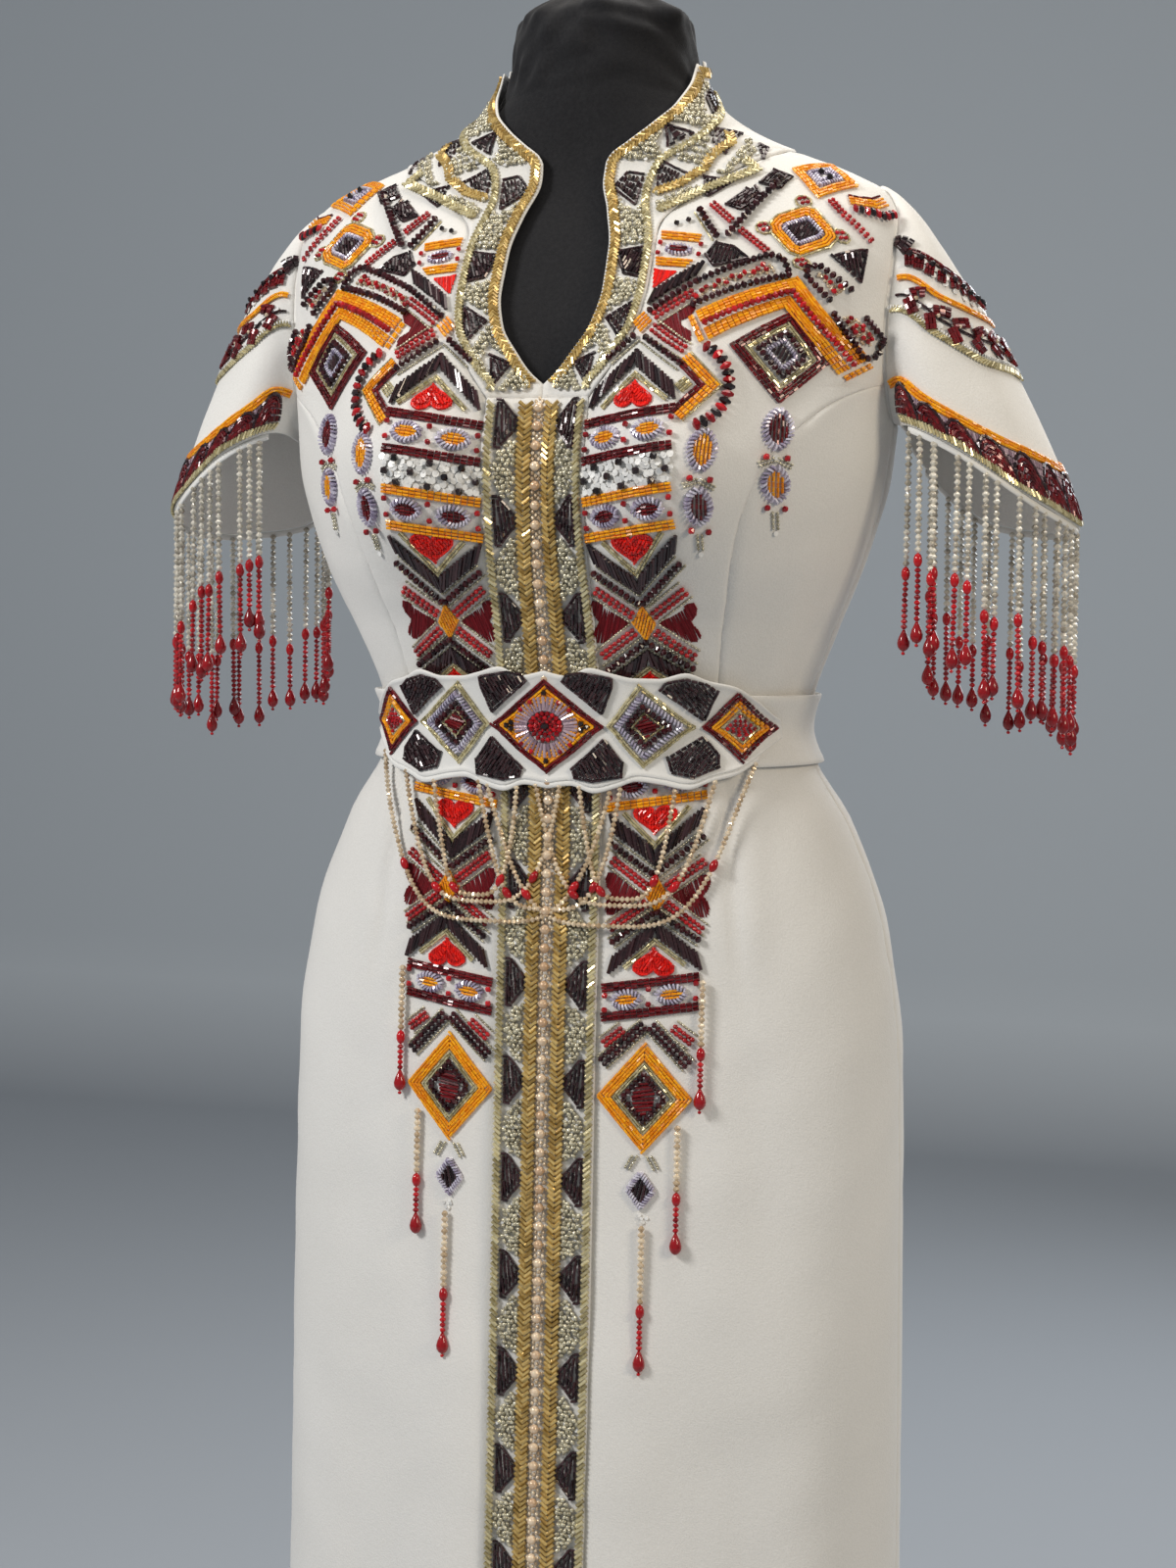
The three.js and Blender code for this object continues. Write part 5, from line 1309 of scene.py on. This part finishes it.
lowerBed = [(4, 1271), (13, 1280), (24, 1290), (31, 1301), (38, 1316), (41.5, 1338), (42, 1352), (40, 1371),
            (36, 1386), (31, 1399), (31, 1409), (36, 1413), (49, 1415), (48, 1404), (49, 1390), (55, 1377),
            (57.5, 1366), (57.5, 1320), (53.5, 1305), (47, 1292), (37, 1280), (32.5, 1270)]
innerYokeBed = [(57, 1399), (54, 1413), (66, 1421), (78, 1431), (84, 1440), (101, 1444), (96, 1429),
                (86, 1417), (71, 1407)]
outerYokeBed = [(60, 1388), (59, 1394), (73, 1402), (90, 1411), (102, 1427), (106, 1441), (122, 1440),
                (109, 1424), (94, 1411),
            (80, 1401), (68, 1393)]
grown = [inset(triangle, -3) for triangle in neckTriangles]
for bed in (lowerBed, innerYokeBed, outerYokeBed):
    silverBed("front", bed, grown)
collarBed = [(10, 1420), (12, 1432), (11, 1446), (10, 1462), (11, 1476), (17, 1480), (27, 1472), (37, 1446),
             (39, 1431), (34, 1423), (24, 1418)]
grown = [inset(triangle, -3) for triangle in collarTriangles]
silverBed("collar", collarBed, grown)

# Centre band, keyhole to hem
# Runs of triangles above and below the belt: first height, step down and lowest height
bandTriangles = dict(runs=((1249, 59, 1120), (1024, 62, 60)), base=26.5, apex=12.5, tall=15.5)
bandFirst, bandLast = bandTop - 3, cut["hem"] + 3
for low, high in ((bandLast, 1035), (1085, bandFirst)):
    for rail, kind, lean in ((30.0, "paleGold", 50), (11.2, "oldGold", 50), (7.0, "oldGold", -50)):
        goldRail("front", kind, [(rail, z) for z in np.linspace(low, high, 12)], wide=5.8, lean=lean,
                 width=2.6, pitch=3.3, lift=1.3 if rail < 20 else 1.0)
for z, step in [(z, step) for first, step, low in bandTriangles["runs"] for z in range(first, low, -step)]:
    tall, base, apex = (bandTriangles[key] for key in ("tall", "base", "apex"))
    shield = [(base, z + tall), (base, z - tall), (base - 3, z - tall),
              (apex, z - 2), (apex, z + 2), (base - 3, z + tall)]
    bugleTriangle("front", shield, 84, lift=0.8)
    t = np.linspace(-1, 1, 13)  # a silver moon between this triangle and the next
    moon = np.stack([14.2 + 12.6 * (1 - np.abs(t)**2.6), z - step / 2 + t * 20], -1)
    silverBed("front", moon, rise=0.1)
pearlPitch = 11.7
pearlHeights = np.concatenate([np.arange(bandFirst - 4, 1092, -pearlPitch),
                               np.arange(1028, cut["hem"] + 6, -pearlPitch)])
put("centre", "rosePearl", 0 * pearlHeights, pearlHeights, half / 2, 6.2, 6.2, 1.9)
t = np.linspace(0, 2 * math.pi, 9)[:-1]
loopX = (3.3 * np.cos(t))[None, :] + 0 * pearlHeights[:, None]
loopV = pearlHeights[:, None] + 5.85 * np.sin(t)[None, :]
put("centre", "roseSeed", loopX, loopV, half / 2, 2.5, 2.5, 1.7)
print("charts of the front laid")

# Belt plaque: by x and height from its middle, mirrored; "beltMiddle" isn't mirrored
def onPlaque(points):
    return [(x, plaque["middle"] + z) for x, z in points]


centreDiamond = np.array(onPlaque([(36.5, 1), (0, 32), (-36.5, 1), (0, -30)]))
rings("beltMiddle", "garnet", centreDiamond, [0.9, 2.8], 1.9, 3.0, lift=0.4)
rings("beltMiddle", "orange", centreDiamond, [4.7, 6.6, 8.5, 10.3], 2.0, 3.2, lift=0.5)
flowerZ = plaque["middle"] + 1
petalTurn = np.linspace(0, 2 * math.pi, 40)[:-1]
put("beltMiddle", "lilacBugle", 15.8 * np.cos(petalTurn), flowerZ + 15 * np.sin(petalTurn), petalTurn, 2.5,
    9.0, 0.5)
for reach, number, size in ((9.3, 18, 3.2), (6.3, 12, 3.2)):
    petalTurn = np.linspace(0, 2 * math.pi, number + 1)[:-1]
    put("beltMiddle", "rubyCrystal", reach * np.cos(petalTurn), flowerZ + reach * 0.95 * np.sin(petalTurn),
        petalTurn, size, 3.2, 0.8)
put("beltMiddle", "jet", 0, flowerZ, 0.3, 5.6, 5.0, 0.6)
petalTurn = np.linspace(0, 2 * math.pi, 9)[:-1] + math.pi / 8
put("beltMiddle", "rubyCrystal", 3.4 * np.cos(petalTurn), flowerZ + 3.3 * np.sin(petalTurn), petalTurn, 2.4,
    2.6, 1.4)
petalTurn = np.array([40, 63, 117, 140, 220, 243, 297, 320]) * math.pi / 180
put("beltMiddle", "rubyCrystal", 18.6 * np.cos(petalTurn) * 1.08, flowerZ + 17.6 * np.sin(petalTurn),
    petalTurn, 3.2, 3.2, 0.9)
dots("beltMiddle", "jet", onPlaque([(0, 23), (0, -21), (25, 1), (22, 3.5), (22, -1.5), (-25, 1), (-22, 3.5),
                                    (-22, -1.5)]), 3.8, 0.7)
sideDiamond = np.array(onPlaque([(88, 2), (57.5, 30), (36.5, 1.5), (58.5, -26)]))
rings("belt", "paleGold", sideDiamond, [0.8, 2.4], 1.7, 2.8, lift=0.4)
row("belt", "lilac", inset(sideDiamond, 5.6), 4.6, 1.2, lean=24, closed=True, pitch=2.3, lift=-0.6)
rings("belt", "darkBead", sideDiamond, [9.7], 4.5, 3.5, lift=0.6)
rings("belt", "paleGold", sideDiamond, [12.4], 1.6, 2.4, lift=0.5)
fill("belt", "garnet", inset(sideDiamond, 13.2), 20, 2.0, None, lift=0.8)
endDiamond = np.array(onPlaque([(128, 2), (111, 26), (89.5, 2), (112, -24.5)]))
rings("belt", "garnet", endDiamond, [0.8, 2.6], 1.9, 3.0, lift=0.4)
rings("belt", "orange", endDiamond, [4.4, 6.2], 2.0, 3.0, lift=0.5)
rings("belt", "paleGold", endDiamond, [7.9], 1.5, 2.4, lift=0.5)
fill("belt", "rubyCrystal", inset(endDiamond, 8.8), 0, 2.7, 2.7, lift=0.8)
for outline, angle in (([(11, 30), (14, 35), (24, 36.5), (42.5, 33.5), (42, 27), (35, 9)], 58),
                       ([(35.5, -6), (15.5, -26), (17.5, -32.5), (29, -34.5), (46.5, -31.5), (47, -22)],
                        122),
                       ([(68.5, 26), (73, 31.5), (84, 34), (95, 31), (101, 25.5), (92, 6.5)], 120),
                       ([(91, -5), (71.5, -19), (74.5, -29), (87, -32.5), (100.5, -26.5), (100, -18)], 60)):
    bugleTriangle("belt", onPlaque(outline), angle, lift=0.4)

# Sleeves: charted by turn and share down, laid out flat as mm round and mm down
def sleevePath(table, count=60, rise=0.0):  # smooth path through (turn, share) pairs, as flat chart points
    table = np.array(table, float)
    spans = np.concatenate([[0], np.cumsum(np.hypot(np.diff(table[:, 0]) * aroundScale,
                                                    np.diff(table[:, 1]) * 130))])
    at = np.linspace(0, spans[-1], count)
    turns, shares = makeCurve(spans, table[:, 0])(at), makeCurve(spans, table[:, 1])(at)
    return np.stack([turns * aroundScale, shares * sleeveLength(turns) + rise], -1)


def hemPath(first, last, up, count=60):  # along the hem at a distance above it
    turns = np.linspace(first, last, count)
    return np.stack([turns * aroundScale, sleeveLength(turns) - up], -1)


hemOrange = [(133, 0.10), (122, 0.45), (110, 0.70), (97, 0.79), (84, 0.82), (57, 0.83), (25, 0.835),
             (0, 0.84)]
upperGold = [(95, 0.04), (84, 0.38), (66, 0.53), (45, 0.60), (20, 0.62), (0, 0.63)]
upperOrange = [(80, 0.05), (66, 0.33), (53, 0.42), (39, 0.47), (18, 0.505), (0, 0.515)]
upperGarnet = [(66, 0.06), (58, 0.2), (48, 0.31), (34, 0.385), (16, 0.43), (0, 0.44)]
upperStem = [(88, 0.06), (75, 0.37), (60, 0.485), (42, 0.54), (20, 0.565), (0, 0.575)]
for path, shifts in ((hemOrange, (-1.9, 0, 1.9)), (upperOrange, (-1, 1))):
    for shift in shifts:
        rowOver("sleeve", "orange", sleevePath(path), 2.0, 3.1, pitch=3.2, lift=0.5, shift=shift)
for shift in (-0.95, 0.95):
    rowOver("sleeve", "garnet", sleevePath(upperGarnet), 1.9, 2.9, pitch=3.0, lift=0.4, shift=shift)
rowOver("sleeve", "paleGold", sleevePath(upperGold), 1.7, 5.4, lean=-46, pitch=2.1, lift=0.6)
rowOver("sleeve", "clear", sleevePath(upperGold, rise=-3.4), 2.8, 0.8, pitch=1.9, lift=-0.2)
hem = dict(gold=3.2, hill=6.2, spacing=22.5, reach=11.4)
rowOver("sleeve", "paleGold", hemPath(136, 0, hem["gold"]), 1.9, 5.8, lean=46, pitch=2.4, lift=0.9)
orangeShare = makeCurve([row[0] for row in hemOrange[::-1]], [row[1] for row in hemOrange[::-1]])
hemTurns = np.linspace(0, 131, 66)
lilacBed = np.concatenate([np.stack([hemTurns * aroundScale, sleeveLength(hemTurns) - hem["hill"]], -1),
                           np.stack([hemTurns * aroundScale, sleeveLength(hemTurns) * orangeShare(hemTurns)
                                     + 3.6], -1)[::-1]])
fill("sleeve", "lilacBugle", lilacBed, 76, 2.0, 4.2, lift=0.1, spacing=2.4)
for at in np.arange(8, 133, hem["spacing"] / aroundScale):  # garnet hills over the hem's gold row
    hillRoom = float(sleeveLength(at) * (1 - orangeShare(at))) - hem["hill"] - 5
    arc = np.linspace(0, math.pi, 13)
    if hillRoom < 4:
        continue
    for share in np.arange(1.0, 0.1, -0.155):
        hillX = at * aroundScale + hem["reach"] * share * np.cos(arc)
        hillUp = hem["hill"] - 1 + (hillRoom + 3) * share * np.sin(arc)**1.3
        hill = np.stack([hillX, sleeveLength(hillX / aroundScale) - hillUp], -1)
        row("sleeve", "garnet" if share < 0.99 else "brown", hill, 2.3, 3.4, lift=1.0)


def sleeveSpots(x, v, way, spots):  # chart places of spots given in true mm along and across a line
    around, down = [sleevePlace(x + a, v + b, 0.0)[0] - sleevePlace(x - a, v - b, 0.0)[0]
                    for a, b in ((0.5, 0), (0, 0.5))]
    tangent = unit(around * math.cos(way) + down * math.sin(way))
    across = np.cross(unit(np.cross(around, down)), tangent)
    stretch = np.array([[around @ tangent, down @ tangent], [around @ across, down @ across]])
    return np.array([x, v]) + np.array(spots, float) @ np.linalg.inv(stretch).T


def sprig(kind, x, v, way, start, end, spread, width=2.4):  # a few bead rows from one spot to another
    for shift in spread:
        rowOver("sleeve", kind, sleeveSpots(x, v, way, [start, end]), width, 3.4, pitch=3.5, lift=0.7,
                shift=shift)


for spot in np.linspace(-6, 6, 6):  # a dark triangle at the armhole
    rowOver("sleeve", "brown", sleeveSpots(71, 6, math.pi / 2, [(-5, spot / 5), (7, spot)]), 2.3, 3.5,
            pitch=3.6, lift=0.6)
for k, ((x, v), way) in enumerate(zip(*walk(sleevePath([(a, b + 0.012) for a, b in upperGarnet]), 7.5))):
    if k % 2:
        sprig("garnet", x, v, way, (-0.5, -2.6), (1.5, -10), (-1.9, 0.2, 2.2))
    else:
        dots("sleeve", "jet", [(x, v + 5.2)], 4.4, 0.9)
        dots("sleeve", "clear", [(x - 1.4, v + 10), (x + 2.8, v + 9)], 4.0, 0.4)
stem = sleevePath(upperStem, 60)
rowOver("sleeve", "brown", stem, 1.8, 3.0, pitch=3.1, lift=0.4)
for k, ((x, v), way) in enumerate(zip(*walk(stem, 30))):
    for side in (-1, 1):
        sprig("garnet", x, v, way, (0.5, side * 1.6), (8.5, side * 8.5), (-2.2, 0, 2.2), 3.0)
    ahead = np.array([math.cos(way), math.sin(way)]) * 10
    for reach in (-4.6, 4.6):
        dots("sleeve", "clear", [(x + ahead[0], v + ahead[1] + reach),
                                 (x + ahead[0] * 0.6, v + ahead[1] * 0.6 + reach * 1.5)],
             4.2, 0.4)
    dots("sleeve", "rose", [(x + ahead[0] * 1.3, v + ahead[1] * 1.3 - 2.5)], 3.2, 0.7)
print("charts of belt and sleeves laid")

for (region, kind), parts in beadBins.items():
    place, mirrored = beadPlaces[region]
    x, v, angle, width, length, lift = np.concatenate(parts, 1)
    if region == "sleeve":  # the back half of each sleeve repeats the front half
        x, v, width, length, lift = [np.concatenate([c, c]) for c in (x, v, width, length, lift)]
        x[len(angle):] *= -1
        angle = np.concatenate([angle, math.pi - angle])
    rise = lift + width * sunk.get(kind, sewnRise)
    centres, normals = place(x, v, rise)
    angle = angle + draw.normal(0, 0.035, len(angle))  # the slight unevenness of hand sewing
    rise = rise + draw.normal(0, 0.09, len(rise))
    dx, dv = np.cos(angle) * 0.8, np.sin(angle) * 0.8
    along = unit(place(x + dx, v + dv, rise)[0] - place(x - dx, v - dv, rise)[0])
    if kind in flatKinds and region != "belt":
        tilt = draw.normal(0, 0.16, (len(x), 3))
        along, normals = unit(normals + tilt), along
        length = 0 * length + 0.7
        centres = centres - along * (width * 0.3)[:, None]
    out = unit(np.cross(np.cross(along, normals), along))
    for side in (1, -1) if mirrored else (1,):
        lay(region, kind, centres, along, out, width, length, side)
print("beads placed:", sum(len(part[0]) for parts in laidBeads.values() for part in parts))


# Strands that hang: sleeve fringe, skirt drops and belt chains
stringGap = 0.12  # room between two beads on a thread


# Beads strung along a path of points, by (kind, width, length) in turn
def thread(group, side, path, pattern):
    path = np.asarray(path, float)
    spans = np.linalg.norm(np.diff(path, axis=0), axis=1)
    gone = np.concatenate([[0], np.cumsum(spans)])
    at = 0.0
    byKind = {}
    for kind, width, length in pattern:
        if at + length > gone[-1] + 0.5:
            break
        byKind.setdefault(kind, []).append((at + length / 2, width, length))
        at += length + stringGap
    for kind, cells in byKind.items():
        middle, width, length = np.array(cells).T
        places = [np.stack([np.interp(middle + d, gone, path[:, k]) for k in range(3)], -1)
                  for d in (-0.6, 0, 0.6)]
        along = unit(places[2] - places[0])
        out = unit(np.cross(along, np.array([0.3, 0.2, 0.1])))
        lay(group, kind, places[1], -along, out, width, length, side)


fringe = dict(first=-132, last=132, strands=29, tape=3.4, long=144, paleLength=80, rubyLength=32)


# Pale crystals, a red oval, small red crystals and a pear drop
def hangingPattern(length, pale="rose", uneven=0.0):
    share = length / fringe["long"]
    longer, shorter = draw.uniform(-uneven, uneven, 2)
    paleCount = int((fringe["paleLength"] + longer) * share / 3.82)
    rubyCount = int((fringe["rubyLength"] - longer * 0.5 + shorter) * share / 3.32)
    pattern = [(pale, draw.uniform(4.0, 4.7), 3.7) for _ in range(paleCount)]
    pattern += [("rubyOval", 5.8, 9.0)] + [("rubyCrystal", 4.0, 3.2)] * rubyCount
    pattern += [("rubyDrop", 8.0, 13.6), ("rubyOval", 2.6, 2.2)]
    return pattern


tapeTurns = np.linspace(fringe["first"], fringe["last"], 19)


def tapePoint(at, drop, depth):
    at = np.asarray(at, float)
    down = 1 + 0 * at
    inward = sleeveNormal(at, down) * np.asarray(depth)[..., None]
    return sleevePoint(at, down) - inward - np.array([0, 0, 1.0]) * drop


tapeFine = np.linspace(fringe["first"], fringe["last"], 109)
for word, side in bothSides:
    tapeSkins = [np.stack([tapePoint(tapeFine, drop, depth + 0 * tapeFine)
                           for drop in (fringe["tape"] + 1, 1)])
                 * (side, 1, 1) for depth in (0.2, 1.4)]
    tape = makeShell(f"fringe_{word}_tape", tapeSkins[0], tapeSkins[1], satinEdge)
    finishPiece(tape)
    strandShares = np.linspace(0.006, 0.994, fringe["strands"])
    for share in strandShares + draw.normal(0, 0.3 / fringe["strands"], fringe["strands"]):
        share = min(max(share, 0), 1)
        place = share * (len(tapeTurns) - 1.02) + 0.01
        k = int(place)
        before, after = tapePoint(tapeTurns[k], 3, 0.8), tapePoint(tapeTurns[k + 1], 3, 0.8)
        root = before * (1 - place + k) + after * (place - k)
        sway = draw.normal(0, 1.1, 2)
        down = np.linspace(0, fringe["long"] + 1, 12)
        path = root + np.stack([*(drift * (down / fringe["long"])**2 for drift in sway), -down], -1)
        thread(f"fringe_{word}", side, path, hangingPattern(fringe["long"], "smoke", 7))
skirtDrops = dict(outer=dict(x=99, top=906, length=82, lift=3.9),
                  middle=dict(x=86, top=815, length=80, lift=3.2),
                  inner=dict(x=65, top=751, length=94, lift=3.4))
for word, side in bothSides:
    for name, drop in skirtDrops.items():
        z = drop["top"] - np.linspace(0, drop["length"] + 1, 14)
        path = overFront(drop["x"] + 0 * z, z, drop["lift"] + 0 * z)
        thread(f"drop_{name}_{word}", side, path, hangingPattern(drop["length"]))
chain = dict(lift=5, liftAtBelt=7.7)
# Looped chains: where each begins and ends across the belt, and the height of its lowest bead
swags = [(-120, 40, 938), (-40, 120, 938), (-100, 8, 950), (-8, 100, 951), (-78, -20, 954), (20, 78, 955),
         (-46, 46, 947)]
ovalHeight = 963  # of the red ovals on both arms of a chain
for first, last, low in swags:
    s = np.linspace(0, 1, 61)
    x = first + (last - first) * s
    endZ = plaque["middle"] - plaqueDown(np.abs(np.where(s < 0.5, first, last) + 0.0)) - 2
    z = endZ - (endZ - low) * (1 - (2 * s - 1)**4)
    rise = chain["lift"] + (chain["liftAtBelt"] - chain["lift"]) * np.clip((z - 985) / 45, 0, 1)
    path = overFront(x, z, rise)
    lengths = np.concatenate([[0], np.cumsum(np.linalg.norm(np.diff(path, axis=0), axis=1))])
    total = lengths[-1]
    pattern, gone = [], 0.0
    height = ovalHeight + (11 if last - first == 160 and low < 940 else 0)
    # where the strand passes that height
    down, up = np.argmax(z < height), len(z) - 1 - np.argmax(z[::-1] < height)
    ovals = [lengths[down] / total, lengths[up] / total]
    if abs(first) > 110:
        ovals[1] = lengths[len(z) - 1 - np.argmax(z[::-1] < ovalHeight)] / total
    if abs(last) > 110:
        ovals[0] = lengths[np.argmax(z < ovalHeight)] / total
    while gone < total - 3:
        if ovals and gone / total > ovals[0] - 0.01:
            ovals.pop(0)
            bead = ("rubyOval", 5.4, 8.6)
        else:
            bead = ("rose", 3.7, 3.1)
        pattern.append(bead)
        gone += bead[2] + stringGap
    thread("chains", 1, path, pattern)
tapeX = np.linspace(-120, 120, 121)
tapeZ = plaque["middle"] - plaqueDown(np.abs(tapeX))
chainTapeSkins = [np.stack([overFront(tapeX, tapeZ - drop, lift + 0 * tapeX) for drop in (3.6, 0.6)])
                  for lift in (8.5, 6.9)]
chainTape = makeShell("belt_chains_tape", *chainTapeSkins, satinEdge)
finishPiece(chainTape)
print("strands strung:", sum(len(part[0]) for parts in laidBeads.values() for part in parts))


# Beads made: one Geometry Nodes tree sets a bead's shape on every place
def beadTree():
    tree = bpy.data.node_groups.new("sewnBeads", "GeometryNodeTree")
    sockets = {}
    for name, kind in (("Places", "NodeSocketGeometry"), ("Bead shape", "NodeSocketObject"),
                       ("Bead material", "NodeSocketMaterial"), ("Size share", "NodeSocketFloat")):
        sockets[name] = tree.interface.new_socket(name=name, in_out="INPUT", socket_type=kind).identifier
    tree.interface.new_socket(name="Beads", in_out="OUTPUT", socket_type="NodeSocketGeometry")
    given, result = tree.nodes.new("NodeGroupInput"), tree.nodes.new("NodeGroupOutput")
    attributes = {name: addNode(tree, "GeometryNodeInputNamedAttribute", data_type="FLOAT_VECTOR")
                  for name in
                  ("along", "out", "size")}
    for name, node in attributes.items():
        node.inputs["Name"].default_value = name
    axes = addNode(tree, "FunctionNodeAxesToRotation", primary_axis="Z", secondary_axis="X")
    scaled = addNode(tree, "ShaderNodeVectorMath", operation="SCALE")
    shape = addNode(tree, "GeometryNodeObjectInfo", transform_space="ORIGINAL")
    instances = tree.nodes.new("GeometryNodeInstanceOnPoints")
    realize = tree.nodes.new("GeometryNodeRealizeInstances")
    painted = tree.nodes.new("GeometryNodeSetMaterial")
    link = tree.links.new
    link(attributes["along"].outputs["Attribute"], axes.inputs["Primary Axis"])
    link(attributes["out"].outputs["Attribute"], axes.inputs["Secondary Axis"])
    link(attributes["size"].outputs["Attribute"], scaled.inputs[0])
    link(given.outputs["Size share"], scaled.inputs["Scale"])
    link(given.outputs["Bead shape"], shape.inputs["Object"])
    link(given.outputs["Places"], instances.inputs["Points"])
    link(shape.outputs["Geometry"], instances.inputs["Instance"])
    link(axes.outputs["Rotation"], instances.inputs["Rotation"])
    link(scaled.outputs["Vector"], instances.inputs["Scale"])
    link(instances.outputs["Instances"], realize.inputs["Geometry"])
    link(realize.outputs["Geometry"], painted.inputs["Geometry"])
    link(given.outputs["Bead material"], painted.inputs["Material"])
    link(painted.outputs["Geometry"], result.inputs["Beads"])
    return tree, sockets


sewnBeads, beadSockets = beadTree()


def makeBeads(name, kind, parts):  # one plain mesh from all beads of a kind in a group
    shapeName, material, slotName = beadKinds[kind]
    centres, along, out, size, tint = [np.concatenate(column) for column in zip(*parts)]
    mesh = bpy.data.meshes.new(name)
    mesh.vertices.add(len(centres))
    mesh.vertices.foreach_set("co", (centres * mm).ravel())
    for label, values in (("along", along), ("out", out), ("size", size * mm)):
        mesh.attributes.new(label, "FLOAT_VECTOR", "POINT").data.foreach_set("vector", values.ravel())
    mesh.attributes.new("tint", "FLOAT", "POINT").data.foreach_set("value", tint)
    mesh.materials.append(material)
    holder = bpy.data.objects.new(name, mesh)
    bpy.context.scene.collection.objects.link(holder)
    modifier = holder.modifiers.new("sewnBeads", "NODES")
    modifier.node_group = sewnBeads
    modifier[beadSockets["Bead shape"]] = beadShape[shapeName]
    modifier[beadSockets["Bead material"]] = material
    modifier[beadSockets["Size share"]] = 1.0
    graph = bpy.context.evaluated_depsgraph_get()
    made = bpy.data.meshes.new_from_object(holder.evaluated_get(graph), preserve_all_data_layers=True,
                                           depsgraph=graph)
    holder.modifiers.clear()
    holder.data = made
    made.name = name
    bpy.data.meshes.remove(mesh)
    for label in ("along", "out", "size"):
        if label in made.attributes:
            made.attributes.remove(made.attributes[label])
    finishPiece(holder)
    holder.data.calc_loop_triangles()
    return holder, len(holder.data.loop_triangles)


triangles = {}
for (group, kind), parts in laidBeads.items():
    piece, count = makeBeads(f"beads_{group}_{kind}", kind, parts)
    triangles[piece.name] = count
for word, side in bothSides:
    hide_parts(f"fringe_{word}")
    for name in skirtDrops:
        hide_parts(f"drop_{name}_{word}")
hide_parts("belt_chains")
for shape in beadShape.values():
    mesh = shape.data
    bpy.data.objects.remove(shape)
    bpy.data.meshes.remove(mesh)
print("bead triangles:", sum(triangles.values()), "largest:",
      max(triangles.items(), key=lambda item: item[1]))

# Camera, floor and light
shot = dict(azimuth=17, elevation=3.5, distance=1.75, aim=(-0.003, 0, 1.021), roll=0.6, lens=60.57)
az, el, roll = (math.radians(shot[key]) for key in ("azimuth", "elevation", "roll"))
back = Vector((math.sin(az) * math.cos(el), -math.cos(az) * math.cos(el), math.sin(el)))
level = Vector((math.cos(az), math.sin(az), 0))
upright = back.cross(level)
right = level * math.cos(roll) + upright * math.sin(roll)
up = back.cross(right)
cameraData = bpy.data.cameras.new("camera")
cameraData.lens = shot["lens"]
camera = bpy.data.objects.new("camera", cameraData)
bpy.context.scene.collection.objects.link(camera)
turned = Matrix((right, up, back)).transposed().to_4x4()
camera.matrix_world = Matrix.Translation(Vector(shot["aim"]) + back * shot["distance"]) @ turned
bpy.context.scene.camera = camera

room = dict(wallDistance=4.2, halfWidth=9, height=5, cove=0.35)


def makeRoom():  # pale floor that curves up into a plain wall behind
    side = np.array([-room["halfWidth"], room["halfWidth"]])
    arc = np.linspace(0, math.pi / 2, 9)
    profile = [(-6, 0), (room["wallDistance"] - room["cove"], 0)]
    profile += [(room["wallDistance"] - room["cove"] * (1 - math.sin(a)), room["cove"] * (1 - math.cos(a)))
                for a in arc[1:]]
    profile.append((room["wallDistance"], room["height"]))
    points = [(x / mm, y / mm, z / mm) for y, z in profile for x in side]
    polygons = [(2 * k, 2 * k + 1, 2 * k + 3, 2 * k + 2) for k in range(len(profile) - 1)]
    material, tree, shader = newMaterial("paleRoom")
    place = addNode(tree, "ShaderNodeTexCoord").outputs["Object"]
    height = addNode(tree, "ShaderNodeSeparateXYZ")
    tree.links.new(place, height.inputs[0])
    soft = remap(tree, height.outputs["Z"], 0.0, 0.25)
    tree.links.new(blend(tree, (0.36, 0.39, 0.43), (0.55, 0.60, 0.65), soft), shader.inputs["Base Color"])
    shader.inputs["Roughness"].default_value = 0.9
    piece = makePiece("room", points, polygons, material)


makeRoom()


def addLight(name, place, target, size, power, colour):
    data = bpy.data.lights.new(name, "AREA")
    data.shape, data.size, data.size_y = "RECTANGLE", size[0], size[1]
    data.energy, data.color = power, colour
    lamp = bpy.data.objects.new(name, data)
    bpy.context.scene.collection.objects.link(lamp)
    lamp.location = place
    lamp.rotation_euler = (Vector(target) - Vector(place)).to_track_quat("-Z", "Y").to_euler()


# Place, aim, size, power and colour of each lamp
softboxes = dict(
    keySoftbox=((-1.7, -2.0, 2.7), (0, 0, 1.1), (0.7, 0.7), 62, (1.0, 0.98, 0.95)),
    fillSoftbox=((2.6, -1.3, 2.2), (0, 0, 1.1), (0.7, 0.9), 30, (1.0, 0.86, 0.66)),
    topSoftbox=((0.4, 0.3, 3.2), (0, 0, 1.2), (1.8, 1.8), 32, (1.0, 0.95, 0.88)),
    rearSoftbox=((0.6, 2.6, 2.2), (0, 0, 1.1), (1.6, 1.8), 26, (0.92, 0.96, 1.0)))
for name, lamp in softboxes.items():
    addLight(name, *lamp)
world = bpy.data.worlds.new("softRoom")
world.use_nodes = True
world.node_tree.nodes["Background"].inputs["Color"].default_value = (0.70, 0.72, 0.74, 1)
world.node_tree.nodes["Background"].inputs["Strength"].default_value = 0.36
bpy.context.scene.world = world
bpy.context.scene.view_settings.view_transform = "Standard"
print("camera, room and lights set")
